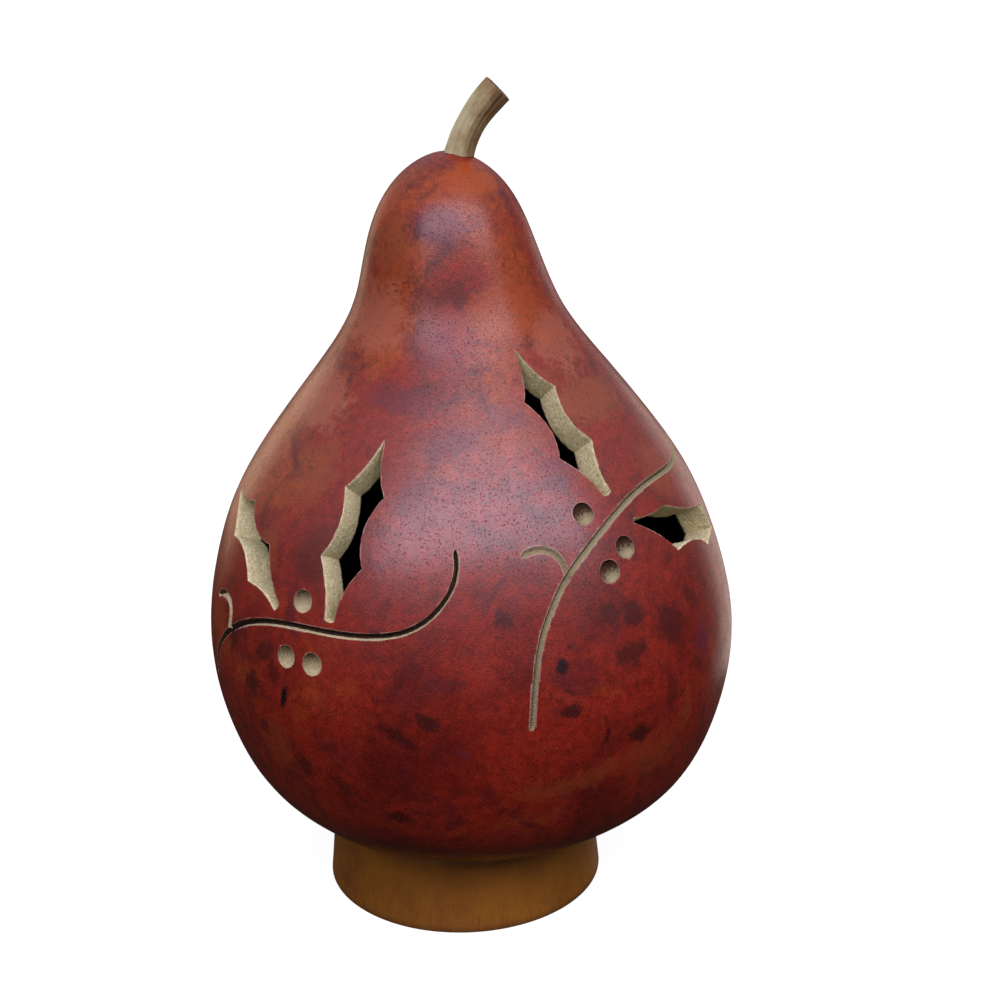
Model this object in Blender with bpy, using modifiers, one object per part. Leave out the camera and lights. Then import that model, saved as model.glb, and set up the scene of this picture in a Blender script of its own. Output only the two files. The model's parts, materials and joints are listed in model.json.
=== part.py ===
"""A dried bottle gourd, hollowed and carved as a lantern, standing on a foot ring.

Three pieces: the gourd's shell, its dried stem, and the cut ring that the gourd sits in.
Lengths are in millimetres until a mesh is written in metres. +Z is up, the origin is on the floor
under the middle of the body, and -Y is the front. An azimuth is in degrees, measured round the
gourd's own axis from the front towards +X.
"""

import math

import bmesh
import bpy
import numpy as np

MM = 0.001
WELD = 0.00005

# The gourd's outline, as (radius, height) stations from the crown down to the base.
BODY_OUTLINE = (
    (0.0, 285.0),
    (18.5, 276.0),
    (26.0, 265.0),
    (32.5, 247.0),
    (38.5, 230.0),
    (52.0, 210.0),
    (70.0, 187.0),
    (85.5, 163.0),
    (95.0, 138.0),
    (100.0, 104.0),
    (95.0, 75.0),
    (83.5, 52.0),
    (66.0, 37.5),
    (37.0, 23.0),
    (0.0, 12.5),
)
# How far the gourd's axis is shifted along X, as (height, shift) stations.
BODY_LEAN = (
    (12.5, -4.2),
    (30.0, -3.6),
    (42.0, -0.6),
    (60.0, 0.4),
    (104.0, 0.0),
    (150.0, -1.1),
    (208.0, -1.7),
    (235.0, -3.1),
    (252.0, -4.4),
    (285.0, -5.0),
)
WALL = 11.0
LIGHT_HOLE_RADIUS = 30.0
EQUATOR_HEIGHT = 104.0
TURN_STEPS = 48
OUTER_STEPS = 28
INNER_STEPS = 17

# One side of a holly leaf for a length of one: (along, out in mm) from its stalk to its tip.
# Its corners are joined by arcs that bend towards the points between them.
HOLLY_SIDE = ((0.0, 1.7), (0.16, 1.9), (0.31, 8.6), (0.50, 1.4), (0.70, 8.8), (0.79, 3.2), (1.0, 0.0))
SHALLOW_SIDE = ((0.0, 0.7), (0.15, 2.6), (0.28, 7.0), (0.55, 5.2), (0.84, 8.8), (0.91, 4.5), (1.0, 0.0))
DEEP_SIDE = ((0.0, 0.7), (0.18, 2.2), (0.35, 8.6), (0.56, 1.6), (0.77, 6.2), (0.87, 1.8), (1.0, 0.0))
LEAF_ARC_STEPS = 4

BERRY_RADIUS = 4.0
GROOVE_WIDTH = 2.7
# How far the cutters stand out of the skin, and how far a leaf's reaches into the cavity.
LEAF_CUTTER_PROUD = 8.0
LEAF_CUTTER_DEPTH = WALL + 6.0
GROOVE_CUTTER_PROUD = 1.5
VINE_STEPS = 19
TENDRIL_STEPS = 6

# The sprigs that the front shows. A leaf is (azimuth, height) of its stalk's end, the way it
# points in degrees above +X on the flattened skin, its length, how far its middle bows, and its
# upper and lower side.
LEFT_SPRIG = {
    "leaves": (
        ((-29.0, 141.0), 84.0, 64.0, 0.8, HOLLY_SIDE, HOLLY_SIDE),
        ((-43.7, 140.5), 153.0, 60.0, -4.2, HOLLY_SIDE, HOLLY_SIDE),
    ),
    "groove_depth": 3.4,
    "berries": ((-36.3, 145.0), (-39.4, 125.0), (-32.5, 125.0)),
    "vine": (
        (-1.5, 166.0),
        (-1.3, 160.0),
        (-4.6, 149.0),
        (-12.0, 140.3),
        (-21.3, 137.4),
        (-39.0, 136.0),
        (-50.0, 132.4),
        (-59.5, 124.8),
        (-66.0, 115.0),
        (-70.5, 101.0),
    ),
    "tendril": ((-61.0, 123.0), (-60.5, 129.0), (-62.5, 133.8), (-66.0, 134.2), (-70.0, 131.3)),
}
RIGHT_SPRIG = {
    "leaves": (
        ((39.7, 176.5), 102.5, 58.0, 0.7, HOLLY_SIDE, HOLLY_SIDE),
        ((44.8, 166.2), -20.5, 62.0, 0.0, SHALLOW_SIDE, DEEP_SIDE),
    ),
    "groove_depth": 2.4,
    "berries": ((30.7, 172.5), (39.3, 159.7), (33.5, 153.8)),
    "vine": (
        (91.0, 180.0),
        (82.0, 175.8),
        (63.0, 175.4),
        (48.6, 173.8),
        (38.0, 169.0),
        (30.0, 162.8),
        (23.6, 155.7),
        (18.6, 146.2),
        (15.8, 137.8),
        (13.3, 122.2),
        (12.0, 106.0),
    ),
    "tendril": ((23.2, 154.5), (22.2, 160.3), (19.3, 163.9), (15.8, 164.2), (13.2, 162.8)),
}
# Where sprigs are carved, as (name, sprig, turn round the axis, rise). The third one is on the back.
SPRIGS = (
    ("left_sprig", LEFT_SPRIG, 0.0, 0.0),
    ("right_sprig", RIGHT_SPRIG, 0.0, 0.0),
    ("back_sprig", LEFT_SPRIG, 240.0, 6.0),
)

# Foot ring: the (radius, height) corners of its outer and inner wall, and where its middle is.
RING_CENTRE_X = -5.0
RING_OUTSIDE = ((51.3, 36.0), (51.9, 28.0), (52.8, 15.0), (54.3, 0.0))
RING_INSIDE = ((46.3, 0.0), (44.6, 15.0), (43.2, 36.0))
RING_SMOOTH_STEPS = 5

# Stem: (X, height, radius) stations from inside the crown to its cut end, and its lobes.
STEM_STATIONS = (
    (-1.6, 281.0, 5.9),
    (-0.5, 285.2, 5.5),
    (1.3, 290.0, 5.3),
    (4.8, 296.2, 5.3),
    (9.0, 301.6, 5.6),
    (13.6, 306.3, 5.8),
)
STEM_STEPS = 12
STEM_LOBES = 5
STEM_LOBE_DEPTH = 0.06
STEM_SECTION_POINTS = 20

# The gap left between two pieces that touch.
CLEARANCE = 0.3


# ---------------------------------------------------------------- shapes in numbers


def smooth_curve(stations, count):
    """Points evenly spaced along a natural cubic spline through the stations."""
    points = np.asarray(stations, dtype=float)
    gaps = np.linalg.norm(np.diff(points, axis=0), axis=1)
    along = np.concatenate([[0.0], np.cumsum(gaps)])
    last = len(points) - 1
    matrix = np.eye(last + 1)
    right = np.zeros_like(points)
    for i in range(1, last):
        matrix[i, i - 1 : i + 2] = gaps[i - 1], 2 * (gaps[i - 1] + gaps[i]), gaps[i]
        rise = (points[i + 1] - points[i]) / gaps[i] - (points[i] - points[i - 1]) / gaps[i - 1]
        right[i] = 6 * rise
    bend = np.linalg.solve(matrix, right)
    where = np.linspace(0.0, along[-1], count)
    i = np.clip(np.searchsorted(along, where, side="right") - 1, 0, last - 1)
    gap = gaps[i][:, None]
    before = (along[i + 1] - where)[:, None]
    after = (where - along[i])[:, None]
    cubic = (bend[i] * before**3 + bend[i + 1] * after**3) / (6 * gap)
    start = (points[i] / gap - bend[i] * gap / 6) * before
    end = (points[i + 1] / gap - bend[i + 1] * gap / 6) * after
    return cubic + start + end


def mirrored_outline(stations, count):
    """A smooth outline from pole to pole, rounded over the axis at both ends."""
    stations = [tuple(station) for station in stations]
    first = (-stations[1][0], stations[1][1])
    final = (-stations[-2][0], stations[-2][1])
    curve = smooth_curve([first, *stations, final], count)
    inside = curve[curve[:, 0] > 0.01]
    return np.concatenate([[stations[0]], inside, [stations[-1]]])


def resample(points, count):
    """The same open curve with points evenly spaced along it."""
    along = np.concatenate([[0.0], np.cumsum(np.linalg.norm(np.diff(points, axis=0), axis=1))])
    where = np.linspace(0.0, along[-1], count)
    return np.stack([np.interp(where, along, points[:, i]) for i in (0, 1)], axis=1)


def outward_normals(points):
    """Unit normals of a (radius, height) curve that runs down its outer side."""
    tangent = np.gradient(points, axis=0)
    normal = np.stack([-tangent[:, 1], tangent[:, 0]], axis=1)
    normal[0] = (0.0, 1.0)
    normal[-1] = (0.0, -1.0)
    return normal / np.linalg.norm(normal, axis=1)[:, None]


FINE_STEPS = 900
OUTLINE = mirrored_outline(BODY_OUTLINE, FINE_STEPS)
OUTLINE_NORMALS = outward_normals(OUTLINE)
OUTLINE_ARC = np.concatenate([[0.0], np.cumsum(np.linalg.norm(np.diff(OUTLINE, axis=0), axis=1))])
LEAN = smooth_curve(BODY_LEAN, FINE_STEPS)


def outline_at(height):
    """Radius, normal and distance down from the crown of the outline at a height."""
    upward = OUTLINE[::-1, 1]
    columns = (OUTLINE[:, 0], OUTLINE_NORMALS[:, 0], OUTLINE_NORMALS[:, 1], OUTLINE_ARC)
    return [np.interp(height, upward, column[::-1]) for column in columns]


def lean_at(height):
    """Shift of the gourd's axis along X at a height."""
    return np.interp(height, LEAN[:, 0], LEAN[:, 1])


def skin_point(azimuth, height, depth=0.0):
    """A point at a depth below the gourd's skin, or above it where depth is negative."""
    radius, normal_r, normal_z, _ = outline_at(height)
    reach = radius - depth * normal_r
    level = height - depth * normal_z
    turn = math.radians(azimuth)
    return np.array([lean_at(level) + reach * math.sin(turn), -reach * math.cos(turn), level])


def walk_on_skin(start, right, up):
    """The (azimuth, height) reached from start by going right and up over the skin."""
    radius, _, _, arc = outline_at(start[1])
    height = np.interp(arc - up, OUTLINE_ARC, OUTLINE[:, 1])
    mean_radius = (radius + outline_at(height)[0]) / 2
    return start[0] + math.degrees(right / mean_radius), height


def quadratic_arc(start, control, end, steps):
    """Points of a quadratic arc, without its last one."""
    t = (np.arange(steps) / steps)[:, None]
    start, control, end = (np.asarray(point, dtype=float) for point in (start, control, end))
    return (1 - t) ** 2 * start + 2 * t * (1 - t) * control + t**2 * end


def leaf_side(side, length):
    """The edge of one side of a leaf from its stalk to just before its tip."""
    places = np.array(side) * (length, 1.0)
    turns = zip(places[:-2:2], places[1:-1:2], places[2::2])
    return np.concatenate([quadratic_arc(*turn, LEAF_ARC_STEPS) for turn in turns])


def leaf_outline(length, bow, upper, lower):
    """A holly leaf from its stalk at the origin to its tip at +X, as a closed loop."""
    below = leaf_side(lower, length)[::-1] * (1.0, -1.0)
    loop = np.concatenate([leaf_side(upper, length), [(length, 0.0)], below])
    share = loop[:, 0] / length
    loop[:, 1] += bow * 4 * share * (1 - share)
    return loop


# ---------------------------------------------------------------- Blender helpers


def clear_scene():
    """Remove the objects that the scene starts with."""
    for item in list(bpy.data.objects):
        bpy.data.objects.remove(item, do_unlink=True)


def new_collection(name):
    """A collection linked to the scene."""
    collection = bpy.data.collections.new(name)
    bpy.context.scene.collection.children.link(collection)
    return collection


def new_material(name, colour, roughness):
    """A Principled material for one piece."""
    material = bpy.data.materials.new(name)
    material.use_nodes = True
    shader = material.node_tree.nodes["Principled BSDF"]
    shader.inputs["Base Color"].default_value = (*colour, 1.0)
    shader.inputs["Roughness"].default_value = roughness
    shader.inputs["Metallic"].default_value = 0.0
    return material


def mesh_object(name, mesh, collection):
    """An object for a mesh, linked to a collection."""
    item = bpy.data.objects.new(name, mesh)
    collection.objects.link(item)
    return item


def as_cutter(item):
    """Show an object as a wire guide that is left out of the model."""
    item.hide_render = True
    item.display_type = "WIRE"
    return item


def mesh_from(points, faces, name):
    """A mesh from points in millimetres."""
    mesh = bpy.data.meshes.new(name)
    mesh.from_pydata([tuple(np.asarray(point) * MM) for point in points], [], faces)
    mesh.update()
    return mesh


def evaluated_mesh(item, name):
    """The mesh of an object with its modifiers, which then loses the object itself."""
    bpy.context.view_layer.update()
    depsgraph = bpy.context.evaluated_depsgraph_get()
    mesh = bpy.data.meshes.new_from_object(item.evaluated_get(depsgraph), depsgraph=depsgraph)
    mesh.name = name
    bpy.data.objects.remove(item, do_unlink=True)
    return mesh


def turned_mesh(profile, name, collection, closed=False):
    """Turn a (radius, height) profile about Z. It runs down the outer side."""
    count = len(profile)
    wire = bpy.data.meshes.new(name)
    edges = [(i, (i + 1) % count) for i in range(count if closed else count - 1)]
    wire.from_pydata([(radius * MM, 0.0, height * MM) for radius, height in profile], edges, [])
    item = mesh_object(name, wire, collection)
    turn = item.modifiers.new("turn", "SCREW")
    turn.steps = TURN_STEPS
    turn.render_steps = TURN_STEPS
    turn.use_merge_vertices = True
    turn.merge_threshold = WELD
    turn.use_smooth_shade = False
    return evaluated_mesh(item, name)


def lean_mesh(mesh):
    """Shift a mesh that stands on the gourd's axis to the axis's real lean."""
    for vertex in mesh.vertices:
        vertex.co.x += lean_at(vertex.co.z / MM) * MM


def prism(rings, name, collection):
    """A closed cutter through rings of points, the first of them outermost."""
    count = len(rings[0])
    faces = [tuple(range(count))]
    for level in range(len(rings) - 1):
        low = level * count
        for i in range(count):
            j = (i + 1) % count
            faces.append((low + j, low + i, low + count + i, low + count + j))
    final = (len(rings) - 1) * count
    faces.append(tuple(final + i for i in reversed(range(count))))
    points = [point for ring in rings for point in ring]
    return as_cutter(mesh_object(name, mesh_from(points, faces, name), collection))


def cut(item, operand, name):
    """Take one cutter, or every cutter of a collection, out of a piece."""
    boolean = item.modifiers.new(name, "BOOLEAN")
    boolean.operation = "DIFFERENCE"
    boolean.solver = "EXACT"
    if isinstance(operand, bpy.types.Collection):
        boolean.operand_type = "COLLECTION"
        boolean.collection = operand
    else:
        boolean.object = operand
    return boolean


# ---------------------------------------------------------------- the carving


def leaf_cutter(name, leaf, collection):
    """A leaf-shaped plug whose wall stands square to the skin all round."""
    stalk, direction, *shape = leaf
    heading = math.radians(direction)
    loop = []
    for along, across in leaf_outline(*shape)[::-1]:
        right = along * math.cos(heading) - across * math.sin(heading)
        up = along * math.sin(heading) + across * math.cos(heading)
        loop.append(walk_on_skin(stalk, right, up))
    depths = (-LEAF_CUTTER_PROUD, LEAF_CUTTER_DEPTH)
    rings = [[skin_point(*place, depth) for place in loop] for depth in depths]
    return prism(rings, name, collection)


def berry_cutter(name, place, collection):
    """A ball that leaves a round dimple as wide as itself."""
    ball = bmesh.new()
    bmesh.ops.create_uvsphere(ball, u_segments=12, v_segments=8, radius=BERRY_RADIUS * MM)
    mesh = bpy.data.meshes.new(name)
    ball.to_mesh(mesh)
    ball.free()
    item = mesh_object(name, mesh, collection)
    item.location = skin_point(*place) * MM
    return as_cutter(item)


def groove_cutter(name, route, depth, steps, collection):
    """A V-shaped bar that follows a route over the skin."""
    places = smooth_curve(route, steps)
    half_top = GROOVE_WIDTH / 2 * (1 + GROOVE_CUTTER_PROUD / depth)
    middles = [skin_point(*place) for place in places]
    rings = []
    for i, place in enumerate(places):
        ahead = middles[min(i + 1, steps - 1)] - middles[max(i - 1, 0)]
        lift = skin_point(*place, -1.0) - middles[i]
        side = np.cross(ahead, lift)
        side /= np.linalg.norm(side)
        top = middles[i] + lift * GROOVE_CUTTER_PROUD
        root = middles[i] - lift * depth
        rings.append([top + side * half_top, top - side * half_top, root])
    return prism(rings, name, collection)


def carve_sprig(label, sprig, turn, rise, collection):
    """Every cutter of one holly sprig, turned and raised from where it is described."""
    def moved(place):
        return place[0] + turn, place[1] + rise

    for i, (stalk, *shape) in enumerate(sprig["leaves"]):
        leaf_cutter(f"{label}_leaf_{i + 1}", (moved(stalk), *shape), collection)
    for i, place in enumerate(sprig["berries"]):
        berry_cutter(f"{label}_berry_{i + 1}", moved(place), collection)
    for part, steps in (("vine", VINE_STEPS), ("tendril", TENDRIL_STEPS)):
        route = [moved(place) for place in sprig[part]]
        groove_cutter(f"{label}_{part}", route, sprig["groove_depth"], steps, collection)


# ---------------------------------------------------------------- the pieces


def shell_profile():
    """Crown to light hole down the outside, then back up the inside to the cavity's crown."""
    inner = OUTLINE - WALL * OUTLINE_NORMALS
    upper_half = OUTLINE[:, 1] > EQUATOR_HEIGHT
    outer_side = resample(OUTLINE[upper_half | (OUTLINE[:, 0] > LIGHT_HOLE_RADIUS)], OUTER_STEPS)
    inner_side = resample(inner[upper_half | (inner[:, 0] > LIGHT_HOLE_RADIUS)], INNER_STEPS)[::-1]
    outer_side[-1, 0] = LIGHT_HOLE_RADIUS
    inner_side[0, 0] = LIGHT_HOLE_RADIUS
    inner_side[-1, 0] = 0.0
    return np.concatenate([outer_side, inner_side])


def make_shell(parts, cutters):
    """The hollow gourd with its holly sprigs and the hole for a light under it."""
    mesh = turned_mesh(shell_profile(), "gourd_shell", parts)
    lean_mesh(mesh)
    shell = mesh_object("gourd_shell", mesh, parts)
    carving = bpy.data.collections.new("carving_cutters")
    cutters.children.link(carving)
    for label, sprig, turn, rise in SPRIGS:
        carve_sprig(label, sprig, turn, rise, carving)
    cut(shell, carving, "carving")
    shell.data.materials.append(new_material("dyed_gourd", (0.22, 0.02, 0.015), 0.35))
    return shell


def make_clearance(cutters):
    """The gourd's outside grown by the gap, to scribe its neighbours to it."""
    grown = OUTLINE + CLEARANCE * OUTLINE_NORMALS
    upper = shell_profile()[:OUTER_STEPS]
    heights = np.concatenate([upper[:, 1], [16.0, BODY_OUTLINE[-1][1]]])
    profile = [(float(np.interp(h, grown[::-1, 1], grown[::-1, 0])), h) for h in heights]
    profile[0] = (0.0, BODY_OUTLINE[0][1] + CLEARANCE)
    profile[-1] = (0.0, BODY_OUTLINE[-1][1] - CLEARANCE)
    mesh = turned_mesh(profile, "gourd_clearance", cutters)
    lean_mesh(mesh)
    return as_cutter(mesh_object("gourd_clearance", mesh, cutters))


def make_ring(parts, clearance):
    """A ring cut from another gourd, its top edge scribed to the gourd that sits in it."""
    outside = resample(smooth_curve(RING_OUTSIDE, 60), RING_SMOOTH_STEPS)
    inside = resample(smooth_curve(RING_INSIDE, 60), RING_SMOOTH_STEPS)
    mesh = turned_mesh(np.concatenate([outside, inside]), "foot_ring", parts, closed=True)
    ring = mesh_object("foot_ring", mesh, parts)
    for vertex in mesh.vertices:
        vertex.co.x += RING_CENTRE_X * MM
    cut(ring, clearance, "seat")
    mesh.materials.append(new_material("stained_gourd", (0.16, 0.06, 0.012), 0.45))
    return ring


def stem_section(cutters):
    """The five-lobed section of the stem, for a radius of one."""
    curve = bpy.data.curves.new("stem_section", "CURVE")
    curve.dimensions = "2D"
    spline = curve.splines.new("POLY")
    spline.points.add(STEM_SECTION_POINTS - 1)
    spline.use_cyclic_u = True
    for i, point in enumerate(spline.points):
        turn = 2 * math.pi * i / STEM_SECTION_POINTS
        reach = MM * (1 + STEM_LOBE_DEPTH * math.cos(STEM_LOBES * turn))
        point.co = (reach * math.cos(turn), reach * math.sin(turn), 0.0, 1.0)
    return as_cutter(mesh_object("stem_section", curve, cutters))


def make_stem(parts, cutters, clearance):
    """The dried stem, bent to one side, its foot scribed to the gourd's crown."""
    path = smooth_curve(STEM_STATIONS, STEM_STEPS)
    curve = bpy.data.curves.new("stem", "CURVE")
    curve.dimensions = "3D"
    curve.bevel_mode = "OBJECT"
    curve.bevel_object = stem_section(cutters)
    curve.use_fill_caps = True
    spline = curve.splines.new("POLY")
    spline.points.add(STEM_STEPS - 1)
    for point, (x, height, radius) in zip(spline.points, path):
        point.co = (x * MM, 0.0, height * MM, 1.0)
        point.radius = radius
    mesh = evaluated_mesh(mesh_object("stem", curve, parts), "stem")
    welded = bmesh.new()
    welded.from_mesh(mesh)
    bmesh.ops.remove_doubles(welded, verts=welded.verts, dist=WELD / 10)
    bmesh.ops.recalc_face_normals(welded, faces=welded.faces)
    welded.to_mesh(mesh)
    welded.free()
    stem = mesh_object("stem", mesh, parts)
    cut(stem, clearance, "foot")
    mesh.materials.clear()
    mesh.materials.append(new_material("dried_stem", (0.33, 0.25, 0.14), 0.75))
    return stem


def shade(item):
    """Smooth shading, with an edge kept sharp where a piece was cut."""
    item.data.shade_smooth()
    item.data.set_sharp_from_angle(angle=math.radians(35.0))


def main():
    """Build the lantern."""
    clear_scene()
    parts = new_collection("bottle_gourd_lantern")
    cutters = new_collection("cutters")
    clearance = make_clearance(cutters)
    shade(make_shell(parts, cutters))
    shade(make_ring(parts, clearance))
    shade(make_stem(parts, cutters, clearance))


if __name__ == "__main__":
    main()
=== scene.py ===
"""A bottle gourd lantern: dyed red, carved with holly sprigs, standing on a cut gourd foot ring.

Lengths are in millimetres until a mesh is written in metres. +Z is up, -Y is the front, and the
origin is on the floor under the middle of the body. An azimuth is in degrees, measured round the
gourd's own axis from the front towards +X.
"""

import json
import logging
import math
from dataclasses import dataclass, replace
from enum import Enum, IntEnum
from functools import cached_property
from typing import Any, Sequence

import bmesh
import bpy
import numpy as np
from mathutils import Euler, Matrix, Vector, noise
from mathutils.kdtree import KDTree

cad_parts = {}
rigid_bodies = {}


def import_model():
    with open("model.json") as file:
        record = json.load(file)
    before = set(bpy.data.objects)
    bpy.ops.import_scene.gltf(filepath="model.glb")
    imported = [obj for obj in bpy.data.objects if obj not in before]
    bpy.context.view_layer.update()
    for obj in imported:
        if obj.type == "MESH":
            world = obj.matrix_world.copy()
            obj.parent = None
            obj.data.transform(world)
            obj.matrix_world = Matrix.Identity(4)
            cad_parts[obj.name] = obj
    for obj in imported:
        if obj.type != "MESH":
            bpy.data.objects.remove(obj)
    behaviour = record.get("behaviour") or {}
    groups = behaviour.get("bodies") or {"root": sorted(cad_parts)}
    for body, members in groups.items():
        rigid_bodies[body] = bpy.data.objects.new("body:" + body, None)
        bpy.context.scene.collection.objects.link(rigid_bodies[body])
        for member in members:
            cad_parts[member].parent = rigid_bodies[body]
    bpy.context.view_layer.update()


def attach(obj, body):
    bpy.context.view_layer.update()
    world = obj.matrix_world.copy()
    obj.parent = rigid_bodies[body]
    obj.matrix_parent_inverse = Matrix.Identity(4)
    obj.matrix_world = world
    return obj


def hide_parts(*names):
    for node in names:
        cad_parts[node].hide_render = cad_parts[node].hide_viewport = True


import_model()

log = logging.getLogger("gourd_lantern")

MM = 0.001
Pair = tuple[float, float]


class Slot(Enum):
    """The record's material slots."""

    DYED_GOURD = "dyed_gourd"
    DRIED_STEM = "dried_stem"
    STAINED_GOURD = "stained_gourd"


class Face(IntEnum):
    """Which of a shell's finishes a face has."""

    SKIN = 0
    PITH = 1
    LINING = 2
    # groove faces darkened as painted shade
    PAINTED_SHADE = 3


class Stain(Enum):
    """What a stain in the dye looks like."""

    TAN = "tan"
    BROWN = "brown"
    ORANGE = "orange"
    PLUM = "plum"
    CLOUD = "cloud"
    CLOT = "clot"
    INK = "ink"


# ---------------------------------------------------------------- numbers and meshes


def pattern_scale(size: float) -> float:
    """The scale that gives a texture features of a size in millimetres."""
    return 1.0 / (size * MM)


def smooth_curve(stations: Sequence[Sequence[float]], count: int) -> np.ndarray:
    """Points evenly spaced along a natural cubic spline.

    Args:
        stations: the points that the spline passes through.
        count: how many points to return.

    Returns:
        An array with a row for each point.
    """
    points = np.asarray(stations, dtype=float)
    gaps = np.linalg.norm(np.diff(points, axis=0), axis=1)
    along = np.concatenate([[0.0], np.cumsum(gaps)])
    last = len(points) - 1
    matrix = np.eye(last + 1)
    right = np.zeros_like(points)
    for i in range(1, last):
        matrix[i, i - 1 : i + 2] = gaps[i - 1], 2 * (gaps[i - 1] + gaps[i]), gaps[i]
        rise = (points[i + 1] - points[i]) / gaps[i] - (points[i] - points[i - 1]) / gaps[i - 1]
        right[i] = 6 * rise
    bend = np.linalg.solve(matrix, right)
    where = np.linspace(0.0, along[-1], count)
    i = np.clip(np.searchsorted(along, where, side="right") - 1, 0, last - 1)
    gap = gaps[i][:, None]
    before = (along[i + 1] - where)[:, None]
    after = (where - along[i])[:, None]
    cubic = (bend[i] * before**3 + bend[i + 1] * after**3) / (6 * gap)
    start = (points[i] / gap - bend[i] * gap / 6) * before
    end = (points[i + 1] / gap - bend[i + 1] * gap / 6) * after
    return cubic + start + end


def lengths_along(points: np.ndarray) -> np.ndarray:
    """The distance along an open curve at each of its points."""
    return np.concatenate([[0.0], np.cumsum(np.linalg.norm(np.diff(points, axis=0), axis=1))])


def resample(points: np.ndarray, count: int) -> np.ndarray:
    """The same open curve with points evenly spaced along it.

    Args:
        points: the curve's points, a row each.
        count: how many points to return.

    Returns:
        An array with a row for each point.
    """
    along = lengths_along(points)
    where = np.linspace(0.0, along[-1], count)
    return np.stack([np.interp(where, along, column) for column in points.T], axis=1)


def grain(points: np.ndarray, size: float, seed: float = 0.0) -> np.ndarray:
    """Smooth noise, the same each run, at points in millimetres.

    Args:
        points: the points, with their coordinates in the last axis.
        size: how far apart the noise's highs are.
        seed: moves the noise, so that two uses differ.

    Returns:
        A value between about -1 and 1 for each point.
    """
    flat = points.reshape(-1, 3) / size + seed * 7.3
    values = [noise.noise(Vector(point)) for point in flat]
    return np.array(values).reshape(points.shape[:-1])


def mesh_object(
    name: str, points: np.ndarray, faces: list[tuple[int, ...]], kind: int = 0
) -> bpy.types.Object:
    """An object with a closed mesh, its faces turned outwards.

    Args:
        name: the object's name.
        points: its points in millimetres.
        faces: point numbers of each face.
        kind: the material slot of every face.

    Returns:
        The object, linked to the scene.
    """
    mesh = bpy.data.meshes.new(name)
    mesh.from_pydata([tuple(point) for point in points.reshape(-1, 3) * MM], [], faces)
    mesh.polygons.foreach_set("material_index", [kind] * len(faces))
    solid = bmesh.new()
    solid.from_mesh(mesh)
    bmesh.ops.recalc_face_normals(solid, faces=solid.faces)
    solid.to_mesh(mesh)
    solid.free()
    item = bpy.data.objects.new(name, mesh)
    bpy.context.scene.collection.objects.link(item)
    return item


def grid_faces(rows: int, columns: int, start: int = 0, closed: bool = True) -> list[tuple[int, ...]]:
    """Quads between the rows of a grid of points.

    Args:
        rows: how many rows of points there are.
        columns: how many points a row has.
        start: the number of the first point.
        closed: whether each row is a loop.

    Returns:
        Point numbers of each quad.
    """
    faces = []
    for row in range(rows - 1):
        low = start + row * columns
        for i in range(columns if closed else columns - 1):
            j = (i + 1) % columns
            faces.append((low + j, low + i, low + columns + i, low + columns + j))
    return faces


def mesh_points(mesh: bpy.types.Mesh) -> np.ndarray:
    """A mesh's points in millimetres."""
    points = np.empty(len(mesh.vertices) * 3, dtype=np.float32)
    mesh.vertices.foreach_get("co", points)
    return points.reshape(-1, 3).astype(float) / MM


def search_tree(points: np.ndarray) -> KDTree:
    """A tree that finds the nearest of some points."""
    tree = KDTree(len(points))
    for i, point in enumerate(points):
        tree.insert(point, i)
    tree.balance()
    return tree


def note(mesh: bpy.types.Mesh, name: str, values: Any) -> None:
    """Store a value at each point of a mesh, for its finish."""
    mesh.attributes.new(name, "FLOAT", "POINT").data.foreach_set("value", values)


def soften(item: bpy.types.Object, sharp_angle: float) -> None:
    """Shade a piece smooth, with edges above an angle in degrees kept crisp."""
    item.data.shade_smooth()
    item.data.set_sharp_from_angle(angle=math.radians(sharp_angle))


def hand_in(item: bpy.types.Object, node: str) -> None:
    """Put a finished piece on the frame and log it.

    Args:
        item: the piece.
        node: the CAD node that it stands for.
    """
    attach(item, "root")
    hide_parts(node)
    log.info("%s: %d faces, for %s", item.name, len(item.data.polygons), node)


# ---------------------------------------------------------------- shader nodes


def linear(colour: str) -> tuple[float, float, float, float]:
    """The linear RGBA value of an sRGB hex colour."""
    shares = [int(colour[i : i + 2], 16) / 255 for i in (1, 3, 5)]
    curved = [c / 12.92 if c <= 0.04045 else ((c + 0.055) / 1.055) ** 2.4 for c in shares]
    return (*curved, 1.0)


def add_node(
    tree: bpy.types.NodeTree, kind: str, inputs: dict, stops: dict | None = None, **settings: Any
) -> Any:
    """Add a node with its settings, values and links.

    Args:
        tree: the node tree.
        kind: the node's type.
        inputs: for each input, by name or number, a value or the output socket that feeds it.
        stops: for a colour ramp, the colour at each place.
        settings: the node's own properties.

    Returns:
        The node.
    """
    node = tree.nodes.new(kind)
    for name, value in settings.items():
        setattr(node, name, value)
    for key, value in inputs.items():
        if isinstance(value, bpy.types.NodeSocket):
            tree.links.new(value, node.inputs[key])
        else:
            node.inputs[key].default_value = value
    for i, (place, colour) in enumerate((stops or {}).items()):
        elements = node.color_ramp.elements
        element = elements[i] if i < len(elements) else elements.new(place)
        element.position = place
        element.color = linear(colour)
    return node


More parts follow.
